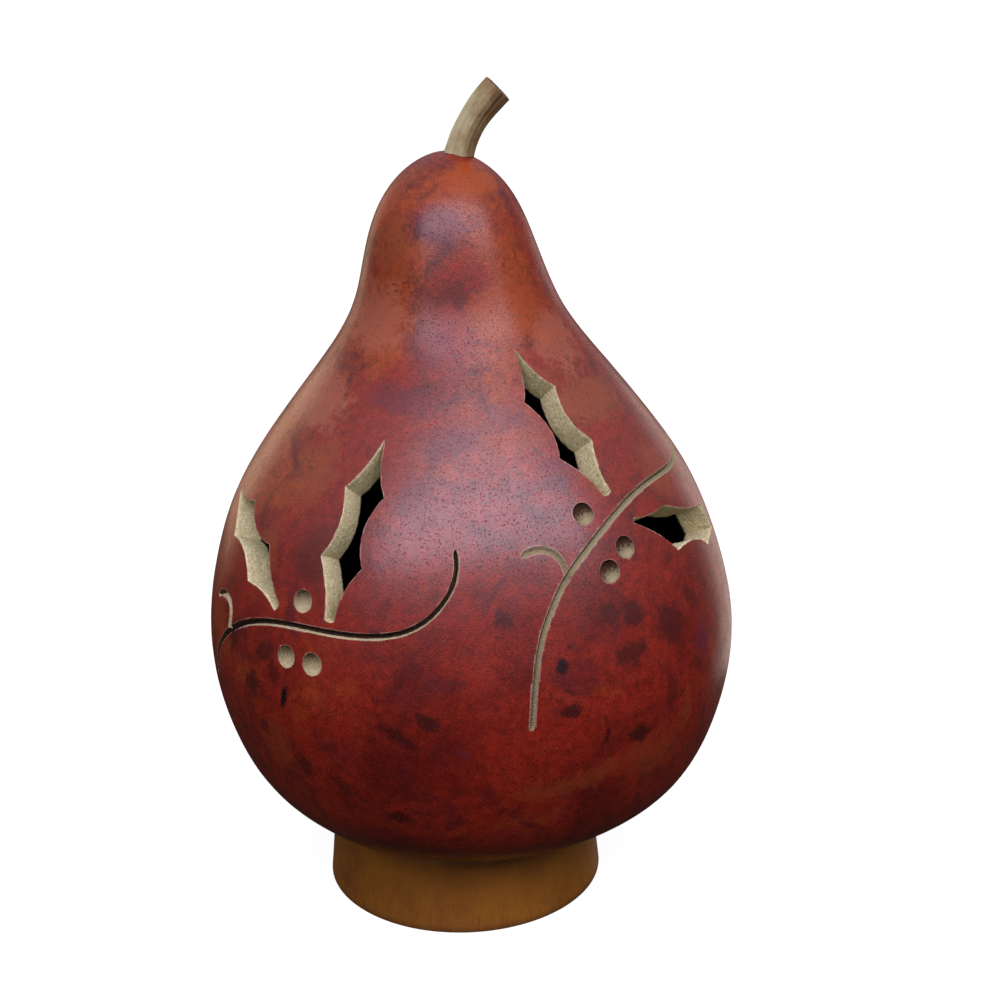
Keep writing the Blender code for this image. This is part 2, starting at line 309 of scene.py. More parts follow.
class Shading:
    """A material's node tree, with the steps that the finishes are made of.

    Unless a method says otherwise, what it takes is a number or a socket, and what it returns is a
    socket.
    """

    def __init__(self, name: str) -> None:
        """Start a material of this name, with the coordinates on the object."""
        self.material = bpy.data.materials.new(name)
        self.material.use_nodes = True
        self.tree = self.material.node_tree
        self.tree.nodes.clear()
        self.place = add_node(self.tree, "ShaderNodeTexCoord", {}).outputs["Object"]

    def attribute(self, name: str, output: str = "Fac") -> Any:
        """One of the mesh's attributes."""
        return add_node(self.tree, "ShaderNodeAttribute", {}, attribute_name=name).outputs[output]

    def split(self, vector: Any) -> Any:
        """A vector's three parts."""
        return add_node(self.tree, "ShaderNodeSeparateXYZ", {0: vector}).outputs

    def noise(
        self, size: float, detail: float, roughness: float, at: Any = None, warp: float = 0.0
    ) -> Any:
        """A noise.

        Args:
            size: the size of its features, in millimetres.
            detail: how many finer layers it has.
            roughness: how much the finer layers show.
            at: the coordinates, where they aren't the object's own.
            warp: how far it is distorted.

        Returns:
            The outputs: Fac and Color.
        """
        inputs = {
            "Vector": self.place if at is None else at,
            "Scale": pattern_scale(size),
            "Detail": detail,
            "Roughness": roughness,
            "Distortion": warp,
        }
        return add_node(self.tree, "ShaderNodeTexNoise", inputs).outputs

    def ranged(
        self, value: Any, ends: Pair, low: float = 0.0, high: float = 1.0, soft: bool = False
    ) -> Any:
        """A value mapped onto a range and held inside it.

        Args:
            value: the value.
            ends: where it gives the first and the second end of the range.
            low: the range's first end.
            high: the range's second end.
            soft: whether it eases in and out.

        Returns:
            The output socket.
        """
        inputs = {"Value": value, "From Min": ends[0], "From Max": ends[1], "To Min": low, "To Max": high}
        kind = "SMOOTHSTEP" if soft else "LINEAR"
        return add_node(self.tree, "ShaderNodeMapRange", inputs, interpolation_type=kind).outputs[0]

    def maths(self, operation: str, *values: Any) -> Any:
        """A sum on values."""
        return add_node(self.tree, "ShaderNodeMath", dict(enumerate(values)), operation=operation).outputs[0]

    def vectors(self, operation: str, *values: Any) -> Any:
        """A sum on vectors."""
        node = add_node(self.tree, "ShaderNodeVectorMath", dict(enumerate(values)), operation=operation)
        return node.outputs["Value" if operation == "LENGTH" else "Vector"]

    def ramp(self, value: Any, stops: dict[float, str]) -> Any:
        """The colour that a ramp with these stops has at a value."""
        return add_node(self.tree, "ShaderNodeValToRGB", {0: value}, stops=stops).outputs[0]

    def mixed(self, share: Any, base: Any, over: Any, blend: str = "MIX") -> Any:
        """One colour laid over another.

        Args:
            share: how much of the upper colour shows.
            base: the lower colour.
            over: the upper colour, as a socket or in hex.
            blend: how they are combined.

        Returns:
            The output socket.
        """
        inputs = {0: share, 6: base, 7: linear(over) if isinstance(over, str) else over}
        settings = {"data_type": "RGBA", "blend_type": blend, "clamp_factor": True}
        return add_node(self.tree, "ShaderNodeMix", inputs, **settings).outputs[2]

    def bumps(self, height: Any, depth: float) -> Any:
        """The normals of bumps of a depth in millimetres."""
        inputs = {"Strength": 1.0, "Distance": depth * MM, "Height": height}
        return add_node(self.tree, "ShaderNodeBump", inputs).outputs[0]

    def finished(self, inputs: dict[str, Any]) -> bpy.types.Material:
        """The material, with a principled shader that has these inputs."""
        shader = add_node(self.tree, "ShaderNodeBsdfPrincipled", inputs)
        add_node(self.tree, "ShaderNodeOutputMaterial", {"Surface": shader.outputs[0]})
        return self.material


# ---------------------------------------------------------------- the gourd's form


@dataclass(frozen=True)
class GourdForm:
    """The smooth outside of the gourd, which every cut and neighbour is fitted to."""

    # (radius, height) stations from the crown down to the base
    outline: tuple[Pair, ...] = (
        (0.0, 285.0),
        (18.5, 276.0),
        (26.0, 265.0),
        (32.5, 247.0),
        (38.5, 230.0),
        (52.0, 210.0),
        (70.0, 187.0),
        (85.5, 163.0),
        (95.0, 138.0),
        (100.0, 104.0),
        (95.0, 75.0),
        (83.5, 52.0),
        (66.0, 37.5),
        (37.0, 23.0),
        (0.0, 12.5),
    )
    # (height, shift along X) stations of the axis
    lean: tuple[Pair, ...] = (
        (12.5, -4.2),
        (30.0, -3.6),
        (42.0, -0.6),
        (60.0, 0.4),
        (104.0, 0.0),
        (150.0, -1.1),
        (208.0, -1.7),
        (235.0, -3.1),
        (252.0, -4.4),
        (285.0, -5.0),
    )
    widest_height: float = 104.0
    steps: int = 900

    @cached_property
    def curve(self) -> np.ndarray:
        """Fine (radius, height) points from the crown to the base."""
        stations = [tuple(station) for station in self.outline]
        first = (-stations[1][0], stations[1][1])
        final = (-stations[-2][0], stations[-2][1])
        curve = smooth_curve([first, *stations, final], self.steps)
        inside = curve[curve[:, 0] > 0.01]
        return np.concatenate([[stations[0]], inside, [stations[-1]]])

    @cached_property
    def normals(self) -> np.ndarray:
        """The unit normal at each point of the curve."""
        tangent = np.gradient(self.curve, axis=0)
        normal = np.stack([-tangent[:, 1], tangent[:, 0]], axis=1)
        normal[0] = (0.0, 1.0)
        normal[-1] = (0.0, -1.0)
        return normal / np.linalg.norm(normal, axis=1)[:, None]

    @cached_property
    def arc(self) -> np.ndarray:
        """The distance down from the crown at each point of the curve."""
        return lengths_along(self.curve)

    @cached_property
    def axis(self) -> np.ndarray:
        """Fine (height, shift) points of the leaning axis."""
        return smooth_curve(self.lean, self.steps)

    def read(self, height: Any, column: np.ndarray) -> Any:
        """The value of one of the curve's columns at a height."""
        return np.interp(height, self.curve[::-1, 1], column[::-1])

    def radius(self, height: Any) -> Any:
        """The outline's radius at a height."""
        return self.read(height, self.curve[:, 0])

    def shift(self, height: Any) -> Any:
        """How far the axis is shifted along X at a height."""
        return np.interp(height, self.axis[:, 0], self.axis[:, 1])

    def skin_point(self, azimuth: Any, height: Any, depth: Any = 0.0) -> np.ndarray:
        """Points at a depth below the skin, or above it where depth is negative.

        Args:
            azimuth: the azimuths.
            height: the heights of the skin above or below the points.
            depth: how deep they are.

        Returns:
            The points, with their coordinates in the last axis.
        """
        reach = self.radius(height) - depth * self.read(height, self.normals[:, 0])
        level = height - depth * self.read(height, self.normals[:, 1])
        turn = np.radians(azimuth)
        x = self.shift(level) + reach * np.sin(turn)
        return np.stack(np.broadcast_arrays(x, -reach * np.cos(turn), level), axis=-1)

    def walk(self, start: Pair, right: Any, up: Any) -> tuple[Any, Any]:
        """Where one gets to by going over the skin.

        Args:
            start: the (azimuth, height) that the walk starts at.
            right: how far it goes to the right.
            up: how far it goes up.

        Returns:
            The azimuths and the heights reached.
        """
        height = np.interp(self.read(start[1], self.arc) - up, self.arc, self.curve[:, 1])
        mean_radius = (self.radius(start[1]) + self.radius(height)) / 2
        return start[0] + np.degrees(right / mean_radius), height

    def gap(self, points: np.ndarray) -> np.ndarray:
        """How far sideways each point is outside the skin, negative where it is inside."""
        across = np.hypot(points[..., 0] - self.shift(points[..., 2]), points[..., 1])
        return across - self.radius(points[..., 2])


# ---------------------------------------------------------------- finishes


@dataclass(frozen=True)
class Mark:
    """A stain that the dye left: where it is, how far it spreads and what it is."""

    azimuth: float
    height: float
    half_width: float
    half_height: float
    stain: Stain
    strength: float = 1.0
    tilt: float = 0.0


MARKS = (
    # the neck: an orange crown, a tan side, an inky wash and a glowing patch at the right
    Mark(30, 277, 11.0, 6.5, Stain.ORANGE, 0.9),
    Mark(-40, 255, 9.0, 12.0, Stain.BROWN, 0.75),
    Mark(-7, 264, 10.0, 6.5, Stain.PLUM, 0.7),
    Mark(-22, 261, 1.8, 2.8, Stain.INK, 0.35, 15.0),
    Mark(3, 241, 6.5, 5.0, Stain.CLOUD, 0.55),
    Mark(28, 233, 14.0, 10.0, Stain.ORANGE, 0.95),
    Mark(-46, 231, 14.0, 14.0, Stain.TAN, 0.8),
    # the shoulder: violet washes between tan ones
    Mark(-14, 224, 8.5, 11.0, Stain.PLUM, 0.45),
    Mark(-22, 208, 12.0, 5.5, Stain.PLUM, 0.6, 12.0),
    Mark(-4, 196, 12.0, 5.0, Stain.PLUM, 0.6, -10.0),
    Mark(16, 201, 9.0, 4.0, Stain.PLUM, 0.5),
    Mark(28, 186, 6.5, 4.5, Stain.PLUM, 0.5),
    Mark(-12, 182, 7.0, 9.0, Stain.PLUM, 0.4),
    Mark(52, 204, 20.0, 10.0, Stain.BROWN, 0.8),
    Mark(54, 222, 11.0, 13.0, Stain.TAN, 0.65),
    Mark(33, 212, 8.0, 6.0, Stain.BROWN, 0.5),
    Mark(62, 177, 9.0, 12.0, Stain.BROWN, 0.6),
    # a tan stain on the left shoulder, made large and light so that it also stands in for the sheen there:
    # partly painted sheen
    Mark(-64, 204, 20.0, 18.0, Stain.TAN, 0.7),
    Mark(-44, 184, 9.0, 10.0, Stain.BROWN, 0.5),
    Mark(-36, 160, 8.0, 13.0, Stain.CLOUD, 0.45),
    Mark(-51, 155, 6.0, 14.0, Stain.BROWN, 0.7),
    # the belly: dark clots, most of them at the right
    Mark(8, 144, 3.2, 3.6, Stain.CLOT, 0.75),
    Mark(19, 127, 2.4, 2.6, Stain.INK, 0.9),
    Mark(21, 133, 1.2, 1.0, Stain.INK, 0.6),
    Mark(31, 141, 5.0, 4.5, Stain.CLOUD, 0.8),
    Mark(37, 138, 5.0, 4.5, Stain.CLOUD, 0.85),
    Mark(47, 131, 8.0, 7.0, Stain.CLOUD, 0.75),
    Mark(35, 126, 6.5, 4.5, Stain.CLOUD, 0.85),
    Mark(57, 119, 5.5, 5.5, Stain.PLUM, 0.85),
    Mark(56, 135, 4.0, 7.0, Stain.CLOUD, 0.6, -25.0),
    Mark(20, 111, 3.6, 2.6, Stain.CLOT, 0.9),
    Mark(36, 96, 5.0, 3.4, Stain.CLOT, 0.85),
    Mark(28, 99, 1.0, 2.6, Stain.INK, 0.7, 12.0),
    Mark(45, 107, 3.5, 4.0, Stain.CLOUD, 0.6),
    # the belly's left: a curl of dark dye, an ink run and scuffs
    Mark(-58, 122, 3.0, 8.0, Stain.CLOUD, 0.8, 12.0),
    Mark(-46, 124, 5.5, 4.0, Stain.CLOUD, 0.8, -20.0),
    Mark(-43, 118, 2.6, 5.0, Stain.CLOUD, 0.7),
    Mark(-50, 110, 4.0, 5.0, Stain.CLOUD, 0.85, -20.0),
    Mark(-40, 110, 1.4, 4.2, Stain.INK, 1.0, 12.0),
    Mark(-47, 95, 3.2, 2.4, Stain.CLOUD, 0.7),
    Mark(-37, 85, 4.4, 3.6, Stain.CLOUD, 0.7, 30.0),
    Mark(-28, 80, 6.0, 3.0, Stain.CLOUD, 0.6, 30.0),
    Mark(-18, 117, 2.6, 1.3, Stain.CLOUD, 0.5, 25.0),
    Mark(-8, 110, 4.0, 2.4, Stain.CLOT, 0.85, 28.0),
    Mark(-14, 104, 7.5, 2.2, Stain.CLOT, 0.8, 30.0),
    Mark(-1, 99, 2.6, 2.0, Stain.PLUM, 0.6),
    Mark(-16, 70, 5.5, 2.8, Stain.CLOT, 0.8),
    # underneath: washed out again
    Mark(20, 82, 22.0, 4.0, Stain.BROWN, 0.45, -8.0),
    Mark(40, 84, 14.0, 10.0, Stain.BROWN, 0.35),
    Mark(-44, 88, 7.0, 12.0, Stain.BROWN, 0.35),
)


@dataclass(frozen=True)
class DyedRind:
    """Dried gourd rind, sanded, dyed with spirit dye and waxed.

    The dye sinks in unevenly, so the eye sees clouds of orange, red and plum with dark flecks at
    the pores. The wax gives a soft sheen that the skin's fine peel texture breaks up.
    """

    form: GourdForm
    plum: str = "#4e1214"
    maroon: str = "#591109"
    red: str = "#771c0e"
    orange: str = "#863511"
    # each kind of stain: its colour, and how far and how finely its edge wanders in millimetres
    stains: tuple[tuple[Stain, str, float, float], ...] = (
        (Stain.TAN, "#955039", 10.0, 12.0),
        (Stain.BROWN, "#7f391a", 9.0, 10.0),
        (Stain.ORANGE, "#8e3a10", 9.0, 10.0),
        (Stain.PLUM, "#5a1a27", 7.0, 8.0),
        (Stain.CLOUD, "#3f0f0b", 6.0, 6.0),
        (Stain.CLOT, "#320b09", 4.0, 4.0),
        (Stain.INK, "#12050b", 1.5, 2.0),
    )
    stain_depth: float = 9.0
    fray: float = 1.9
    fleck: str = "#300a09"
    rubbed: str = "#b98a7c"
    # real sizes on the skin: the dye's clouds, its blotches, the pores and the peel texture
    cloud_size: float = 46.0
    blotch_size: float = 17.0
    mottle_size: float = 3.4
    speckle_size: float = 0.62
    drift_size: float = 13.0
    fleck_size: float = 1.2
    pore_size: float = 0.7
    peel_size: float = 1.2
    peel_depth: float = 0.06
    wax_patch_size: float = 9.0
    # the dye is thinner toward the neck, and the wax is buffed most on the belly
    thin_from: float = 50.0
    thin_to: float = 250.0
    buffed_to: float = 200.0
    dull_from: float = 226.0

    def material(self) -> bpy.types.Material:
        """Build the material."""
        shade = Shading("dyed_waxed_gourd_rind")
        colour = self.marked(shade, self.dye(shade))
        flecks, pores = self.flecks(shade)
        colour = shade.mixed(flecks, colour, self.fleck)
        edge = shade.ranged(shade.attribute("rubbed"), (0.72, 0.95), 0.0, 0.55)
        roughness, buffed = self.wax(shade, pores)
        return shade.finished(
            {
                "Base Color": shade.mixed(edge, colour, self.rubbed),
                "Roughness": roughness,
                "IOR": 1.5,
                "Specular IOR Level": shade.maths("MULTIPLY", buffed, 0.5),
                "Coat Weight": shade.maths("MULTIPLY", buffed, 0.3),
                "Coat Roughness": 0.24,
                "Coat IOR": 1.5,
                "Normal": self.peel(shade, pores),
            }
        )

    def dye(self, shade: Shading) -> Any:
        """The colour of the clouds that the dye dried in."""
        cloud = shade.noise(self.cloud_size, 6.0, 0.62, warp=0.5)["Fac"]
        height = shade.split(shade.place)[2]
        thinned = shade.ranged(height, (self.thin_from * MM, self.thin_to * MM), -0.08, 0.11)
        stops = {0.34: self.maroon, 0.47: self.red, 0.55: self.red, 0.68: self.orange}
        colour = shade.ramp(shade.maths("ADD", cloud, thinned), stops)
        elsewhere = shade.vectors("ADD", shade.place, (0.31, 0.17, 0.53))
        plum = shade.noise(self.blotch_size, 6.0, 0.66, elsewhere, 0.9)["Fac"]
        colour = shade.mixed(shade.ranged(plum, (0.48, 0.70), 0.0, 0.85, True), colour, self.plum)
        for size, detail, depth in ((self.mottle_size, 5.0, 0.30), (self.speckle_size, 2.0, 0.34)):
            mottle = shade.noise(size, detail, 0.7)["Fac"]
            tone = shade.ranged(mottle, (0.3, 0.7), 1.0 - depth, 1.0 + depth)
            colour = shade.mixed(1.0, colour, tone, "MULTIPLY")
        return colour

    def marked(self, shade: Shading, colour: Any) -> Any:
        """A colour with the separate stains laid over it."""
        for stain, tint, reach, size in self.stains:
            wander = shade.vectors("SUBTRACT", shade.noise(size, 5.0, 0.72)["Color"], (0.5, 0.5, 0.5))
            moved = shade.vectors("MULTIPLY_ADD", wander, (2 * reach * MM,) * 3, shade.place)
            frayed = shade.noise(0.4 * size, 6.0, 0.8)["Fac"]
            fray = shade.maths("MULTIPLY_ADD", frayed, self.fray, -0.5 * self.fray)
            share = 0.0
            for mark in (mark for mark in MARKS if mark.stain is stain):
                share = shade.maths("MAXIMUM", share, self.mark_share(shade, moved, fray, mark))
            colour = shade.mixed(share, colour, tint)
        return colour

    def mark_share(self, shade: Shading, place: Any, fray: Any, mark: Mark) -> Any:
        """How strongly one stain shows.

        Args:
            shade: the material.
            place: the coordinates, already made ragged.
            fray: how far the edge is frayed, as a share of the stain's size.
            mark: the stain.

        Returns:
            The output socket.
        """
        inputs = {
            "Vector": place,
            "Location": tuple(self.form.skin_point(mark.azimuth, mark.height) * MM),
            "Rotation": (0.0, math.radians(mark.tilt), math.radians(mark.azimuth)),
            "Scale": (mark.half_width * MM, self.stain_depth * MM, mark.half_height * MM),
        }
        local = add_node(shade.tree, "ShaderNodeMapping", inputs, vector_type="TEXTURE").outputs[0]
        far = shade.maths("ADD", shade.vectors("LENGTH", local), fray)
        return shade.ranged(far, (1.3, 0.6), 0.0, mark.strength, True)

    def flecks(self, shade: Shading) -> tuple[Any, Any]:
        """How strongly the dark flecks show, in drifts, and the pores between them."""
        drift = shade.noise(self.drift_size, 3.0, 0.6)["Fac"]
        crowd = shade.ranged(drift, (0.35, 0.68), 0.085, -0.035)
        raised = shade.maths("SUBTRACT", shade.noise(self.fleck_size, 3.0, 0.75)["Fac"], crowd)
        pores = shade.ranged(shade.noise(self.pore_size, 2.0, 0.6)["Fac"], (0.56, 0.68))
        return shade.ranged(raised, (0.54, 0.67), 0.0, 0.7), pores

    def wax(self, shade: Shading, pores: Any) -> tuple[Any, Any]:
        """The patchy wax's roughness, and how well it is buffed: less at the neck and the pores."""
        patch = shade.ranged(shade.noise(self.wax_patch_size, 5.0, 0.7)["Fac"], (0.3, 0.7), 0.30, 0.41)
        height = shade.split(shade.place)[2]
        belly = shade.ranged(height, (self.buffed_to * MM, self.dull_from * MM), 1.0, 0.62, True)
        open_grain = shade.ranged(pores, (0.0, 1.0), 1.0, 0.45)
        return shade.maths("MULTIPLY_ADD", pores, 0.25, patch), shade.maths("MULTIPLY", belly, open_grain)

    def peel(self, shade: Shading, pores: Any) -> Any:
        """The normals of the fine peel texture and the sunken pores."""
        peel = shade.noise(self.peel_size, 3.0, 0.6)["Fac"]
        return shade.bumps(shade.maths("MULTIPLY_ADD", pores, -0.5, peel), self.peel_depth)


@dataclass(frozen=True)
class CutPith:
    """The gourd's dried inner wall, sawn and gouged.

    Its cells tear, so the eye sees a grainy matte beige with dark pits and a few glints.
    """

    name: str
    pale: str = "#dfd5a9"
    beige: str = "#bfb284"
    pit: str = "#8c7e5c"
    dye: str = "#a0705c"
    # the gouges' browning, and the painted shade in the berries' dimples
    singe_and_shade: str = "#432713"
    lamp_black: str = "#0c0b0a"
    grain_size: float = 1.0
    pit_size: float = 2.2
    tear_depth: float = 0.55
    # the dye soaks in from the skin, and the lamp black from the cavity, this deep
    dye_depth: float = 0.35
    black_depth: float = 10.4

    def material(self) -> bpy.types.Material:
        """Build the material."""
        shade = Shading(self.name)
        grit = shade.noise(self.grain_size, 4.0, 0.75)["Fac"]
        pits = shade.noise(self.pit_size, 3.0, 0.7)["Fac"]
        colour = shade.ramp(grit, {0.24: self.pit, 0.42: self.beige, 0.62: self.pale})
        colour = shade.mixed(shade.ranged(pits, (0.36, 0.24), 0.0, 0.5), colour, self.pit)
        depth = shade.maths("MULTIPLY_ADD", pits, -0.6, shade.attribute("depth"))
        soaked = shade.ranged(depth, (self.dye_depth - 0.1, -0.2), 0.0, 0.85)
        colour = shade.mixed(soaked, colour, self.dye)
        # this colour browns the gouges and lays painted shade into the berries' dimples
        browned_and_shaded = shade.maths("MULTIPLY", grit, shade.attribute("singed_and_shaded"))
        colour = shade.mixed(shade.maths("MULTIPLY", browned_and_shaded, 1.9), colour, self.singe_and_shade)
        sooted = shade.ranged(depth, (self.black_depth - 0.6, self.black_depth))
        return shade.finished(
            {
                "Base Color": shade.mixed(sooted, colour, self.lamp_black),
                "Roughness": shade.ranged(grit, (0.62, 0.72), 0.9, 0.35),
                "IOR": 1.45,
                "Normal": shade.bumps(grit, self.tear_depth),
            }
        )


@dataclass(frozen=True)
class LampBlack:
    """Matte black paint, brushed on the inside, so that the cavity reads as a dark hole."""

    black: str = "#080707"
    worn: str = "#15110d"
    stroke_size: float = 6.0
    stroke_depth: float = 0.5

    def material(self) -> bpy.types.Material:
        """Build the material."""
        shade = Shading("brushed_matte_black_paint")
        stroke = shade.noise(self.stroke_size, 5.0, 0.7)["Fac"]
        return shade.finished(
            {
                "Base Color": shade.ramp(stroke, {0.45: self.black, 0.75: self.worn}),
                "Roughness": 0.95,
                "Specular IOR Level": 0.2,
                "Normal": shade.bumps(stroke, self.stroke_depth),
            }
        )


@dataclass(frozen=True)
class DriedStalk:
    """A gourd's woody stalk, dried on the vine: ribbed, with painted light on one side and painted shade on
    the other.
    """

    bleached: str = "#ada27b"
    tan: str = "#8f7d55"
    brown: str = "#735631"
    dark: str = "#3b2a18"
    fibre_width: float = 0.8
    fibre_length: float = 14.0
    fibre_depth: float = 0.3
    weather_size: float = 7.0
    # across the stalk it goes from painted light on one side to painted shade on the other, and along it to
    # the browner end
    painted_light_to: float = -2.5
    painted_shade_from: float = 5.0
    pale_to: float = 16.0
    brown_from: float = 30.0

    def material(self) -> bpy.types.Material:
        """Build the material."""
        shade = Shading("dried_ribbed_gourd_stalk")
        straight = shade.attribute("straight", "Vector")
        drawn = shade.vectors("MULTIPLY", straight, (1.0, 1.0, self.fibre_width / self.fibre_length))
        fibre = shade.noise(self.fibre_width, 4.0, 0.65, drawn)["Fac"]
        weather = shade.noise(self.weather_size, 4.0, 0.6, straight)["Fac"]
        across, _, along = shade.split(straight)
        # painted light and shade: one side of the stalk lighter, the other darker
        painted_side_light = shade.ranged(across, (self.painted_light_to * MM, self.painted_shade_from * MM), 0.20, -0.25)
        upper = shade.ranged(along, (self.pale_to * MM, self.brown_from * MM), 0.05, -0.36)
        weathered_and_lit = shade.maths("ADD", weather, shade.maths("ADD", painted_side_light, upper))
        colour = shade.ramp(weathered_and_lit, {0.22: self.brown, 0.48: self.tan, 0.75: self.bleached})
        colour = shade.mixed(shade.ranged(fibre, (0.42, 0.26), 0.0, 0.4), colour, self.dark)
        # painted shade: the furrows between the ribs are darkened with brown
        furrow_shade = shade.maths("MULTIPLY", shade.attribute("hollow"), 0.45)
        return shade.finished(
            {
                "Base Color": shade.mixed(furrow_shade, colour, self.brown),
                "Roughness": 0.72,
                "IOR": 1.45,
                "Normal": shade.bumps(fibre, self.fibre_depth),
            }
        )


@dataclass(frozen=True)
class SnippedEnd:
    """The stalk's cut end, dried dark and fibrous, with rings of open vessels."""

    dark: str = "#2c2015"
    brown: str = "#6e583c"
    vessel_size: float = 0.7
    vessel_depth: float = 0.3

    def material(self) -> bpy.types.Material:
        """Build the material."""
        shade = Shading("snipped_stalk_end")
        inputs = {"Vector": shade.place, "Scale": pattern_scale(self.vessel_size), "Randomness": 1.0}
        vessels = add_node(shade.tree, "ShaderNodeTexVoronoi", inputs).outputs["Distance"]
        return shade.finished(
            {
                "Base Color": shade.ramp(vessels, {0.15: self.dark, 0.65: self.brown}),
                "Roughness": 0.85,
                "Normal": shade.bumps(vessels, self.vessel_depth),
            }
        )


@dataclass(frozen=True)
class StainedRind:
    """Gourd rind stained golden brown and waxed, its sawn lower edge darker and fibrous."""

    gold: str = "#83500f"
    amber: str = "#74440d"
    umber: str = "#3f2208"
    cloud_size: float = 18.0
    fibre_width: float = 0.9
    fibre_length: float = 12.0
    fibre_depth: float = 0.12
    edge_height: float = 6.0

    def material(self) -> bpy.types.Material:
        """Build the material."""
        shade = Shading("stained_waxed_gourd_ring")
        cloud = shade.noise(self.cloud_size, 6.0, 0.65)["Fac"]
        colour = shade.ramp(cloud, {0.12: self.umber, 0.40: self.amber, 0.62: self.gold})
        upright = shade.vectors("MULTIPLY", shade.place, (1.0, 1.0, self.fibre_width / self.fibre_length))
        fibre = shade.noise(self.fibre_width, 4.0, 0.7, upright)["Fac"]
        height = shade.split(shade.place)[2]
        low = shade.ranged(height, (2.4 * self.edge_height * MM, 0.0), 0.12, 0.8)
        lines = shade.maths("MULTIPLY", shade.ranged(fibre, (0.52, 0.34), 0.0, 0.7), low)
        colour = shade.mixed(lines, colour, self.umber)
        edge = shade.ranged(height, (0.5 * self.edge_height * MM, 0.0), 0.0, 0.7)
        return shade.finished(
            {
                "Base Color": shade.mixed(edge, colour, self.umber),
                "Roughness": 0.5,
                "IOR": 1.48,
                "Normal": shade.bumps(fibre, self.fibre_depth),
            }
        )


# ---------------------------------------------------------------- the carving


# One side of a holly leaf for a length of one: (along, out in mm) from its stalk to its tip. Its
# corners are joined by arcs that bend towards the points between them.
Side = tuple[Pair, ...]
HOLLY_SIDE: Side = ((0.0, 1.7), (0.16, 1.9), (0.31, 8.6), (0.50, 1.4), (0.70, 8.8), (0.79, 3.2), (1.0, 0.0))
SHALLOW_SIDE: Side = ((0.0, 0.7), (0.15, 2.6), (0.28, 7.0), (0.55, 5.2), (0.84, 8.8), (0.91, 4.5), (1.0, 0.0))
DEEP_SIDE: Side = ((0.0, 0.7), (0.18, 2.2), (0.35, 8.6), (0.56, 1.6), (0.77, 6.2), (0.87, 1.8), (1.0, 0.0))


@dataclass(frozen=True)
class Leaf:
    """One holly leaf.

    Its stalk's (azimuth, height), the way it points in degrees above +X on the flattened skin, its
    length, how far its middle bows, and its two sides.
    """

    stalk: Pair
    direction: float
    length: float
    bow: float
    upper: Side = HOLLY_SIDE
    lower: Side = HOLLY_SIDE


@dataclass(frozen=True)
class Sprig:
    """A holly sprig: leaves, berries, a vine and the tendril that leaves it.

    Its grooves are gouged this deep. Below one depth they carry painted shade, and on their upper
    side below a second depth. The singe sets both how far the gouge's heat browned it and how dark
    the painted shade in its berries' dimples is, and the vine is slimmed to these shares of its width at its
    two ends.
    """

    name: str
    groove_depth: float
    shade_depth: float
    side_shade_depth: float
    singe_and_shade: float
    slimmed: Pair
    leaves: tuple[Leaf, ...]
    berries: tuple[Pair, ...]
    vine: tuple[Pair, ...]
    tendril: tuple[Pair, ...]

    def moved(self, name: str, turn: float, rise: float) -> "Sprig":
        """The same sprig, carved somewhere else.

        Args:
            name: its name there.
            turn: how far round the axis it is, in degrees.
            rise: how much higher it is.

        Returns:
            The new sprig.
        """

        def shift(place: Pair) -> Pair:
            """The place, moved."""
            return place[0] + turn, place[1] + rise

        return replace(
            self,
            name=name,
            leaves=tuple(replace(leaf, stalk=shift(leaf.stalk)) for leaf in self.leaves),
            berries=tuple(map(shift, self.berries)),
            vine=tuple(map(shift, self.vine)),
            tendril=tuple(map(shift, self.tendril)),
        )


LEFT_SPRIG = Sprig(
    name="left_sprig",
    groove_depth=3.4,
    shade_depth=1.9,
    side_shade_depth=0.25,
    singe_and_shade=0.6,
    slimmed=(0.72, 0.9),
    leaves=(Leaf((-29.0, 141.0), 84.0, 64.0, 0.8), Leaf((-43.7, 140.5), 153.0, 60.0, -4.2)),
    berries=((-36.3, 145.0), (-39.4, 125.0), (-32.5, 125.0)),
    vine=(
        *((-1.5, 166.0), (-1.3, 160.0), (-4.6, 149.0), (-12.0, 140.3), (-21.3, 137.4)),
        *((-39.0, 136.0), (-50.0, 132.4), (-59.5, 124.8), (-66.0, 115.0), (-70.5, 101.0)),
    ),
    tendril=((-61.0, 123.0), (-60.5, 129.0), (-62.5, 133.8), (-66.0, 134.2), (-70.0, 131.3)),
)
RIGHT_SPRIG = Sprig(
    name="right_sprig",
    groove_depth=2.4,
    shade_depth=9.0,
    side_shade_depth=2.0,
    singe_and_shade=1.4,
    slimmed=(1.0, 0.8),
    leaves=(
        Leaf((39.7, 176.5), 102.5, 58.0, 0.7),
        Leaf((44.8, 166.2), -20.5, 62.0, 0.0, SHALLOW_SIDE, DEEP_SIDE),
    ),
    berries=((30.7, 172.5), (39.3, 159.7), (33.5, 153.8)),
    vine=(
        *((91.0, 180.0), (82.0, 175.8), (63.0, 175.4), (48.6, 173.8), (38.0, 169.0), (30.0, 162.8)),
        *((23.6, 155.7), (18.6, 146.2), (15.8, 137.8), (13.3, 122.2), (12.0, 106.0)),
    ),
    tendril=((23.2, 154.5), (22.2, 160.3), (19.3, 163.9), (15.8, 164.2), (13.2, 162.8)),
)


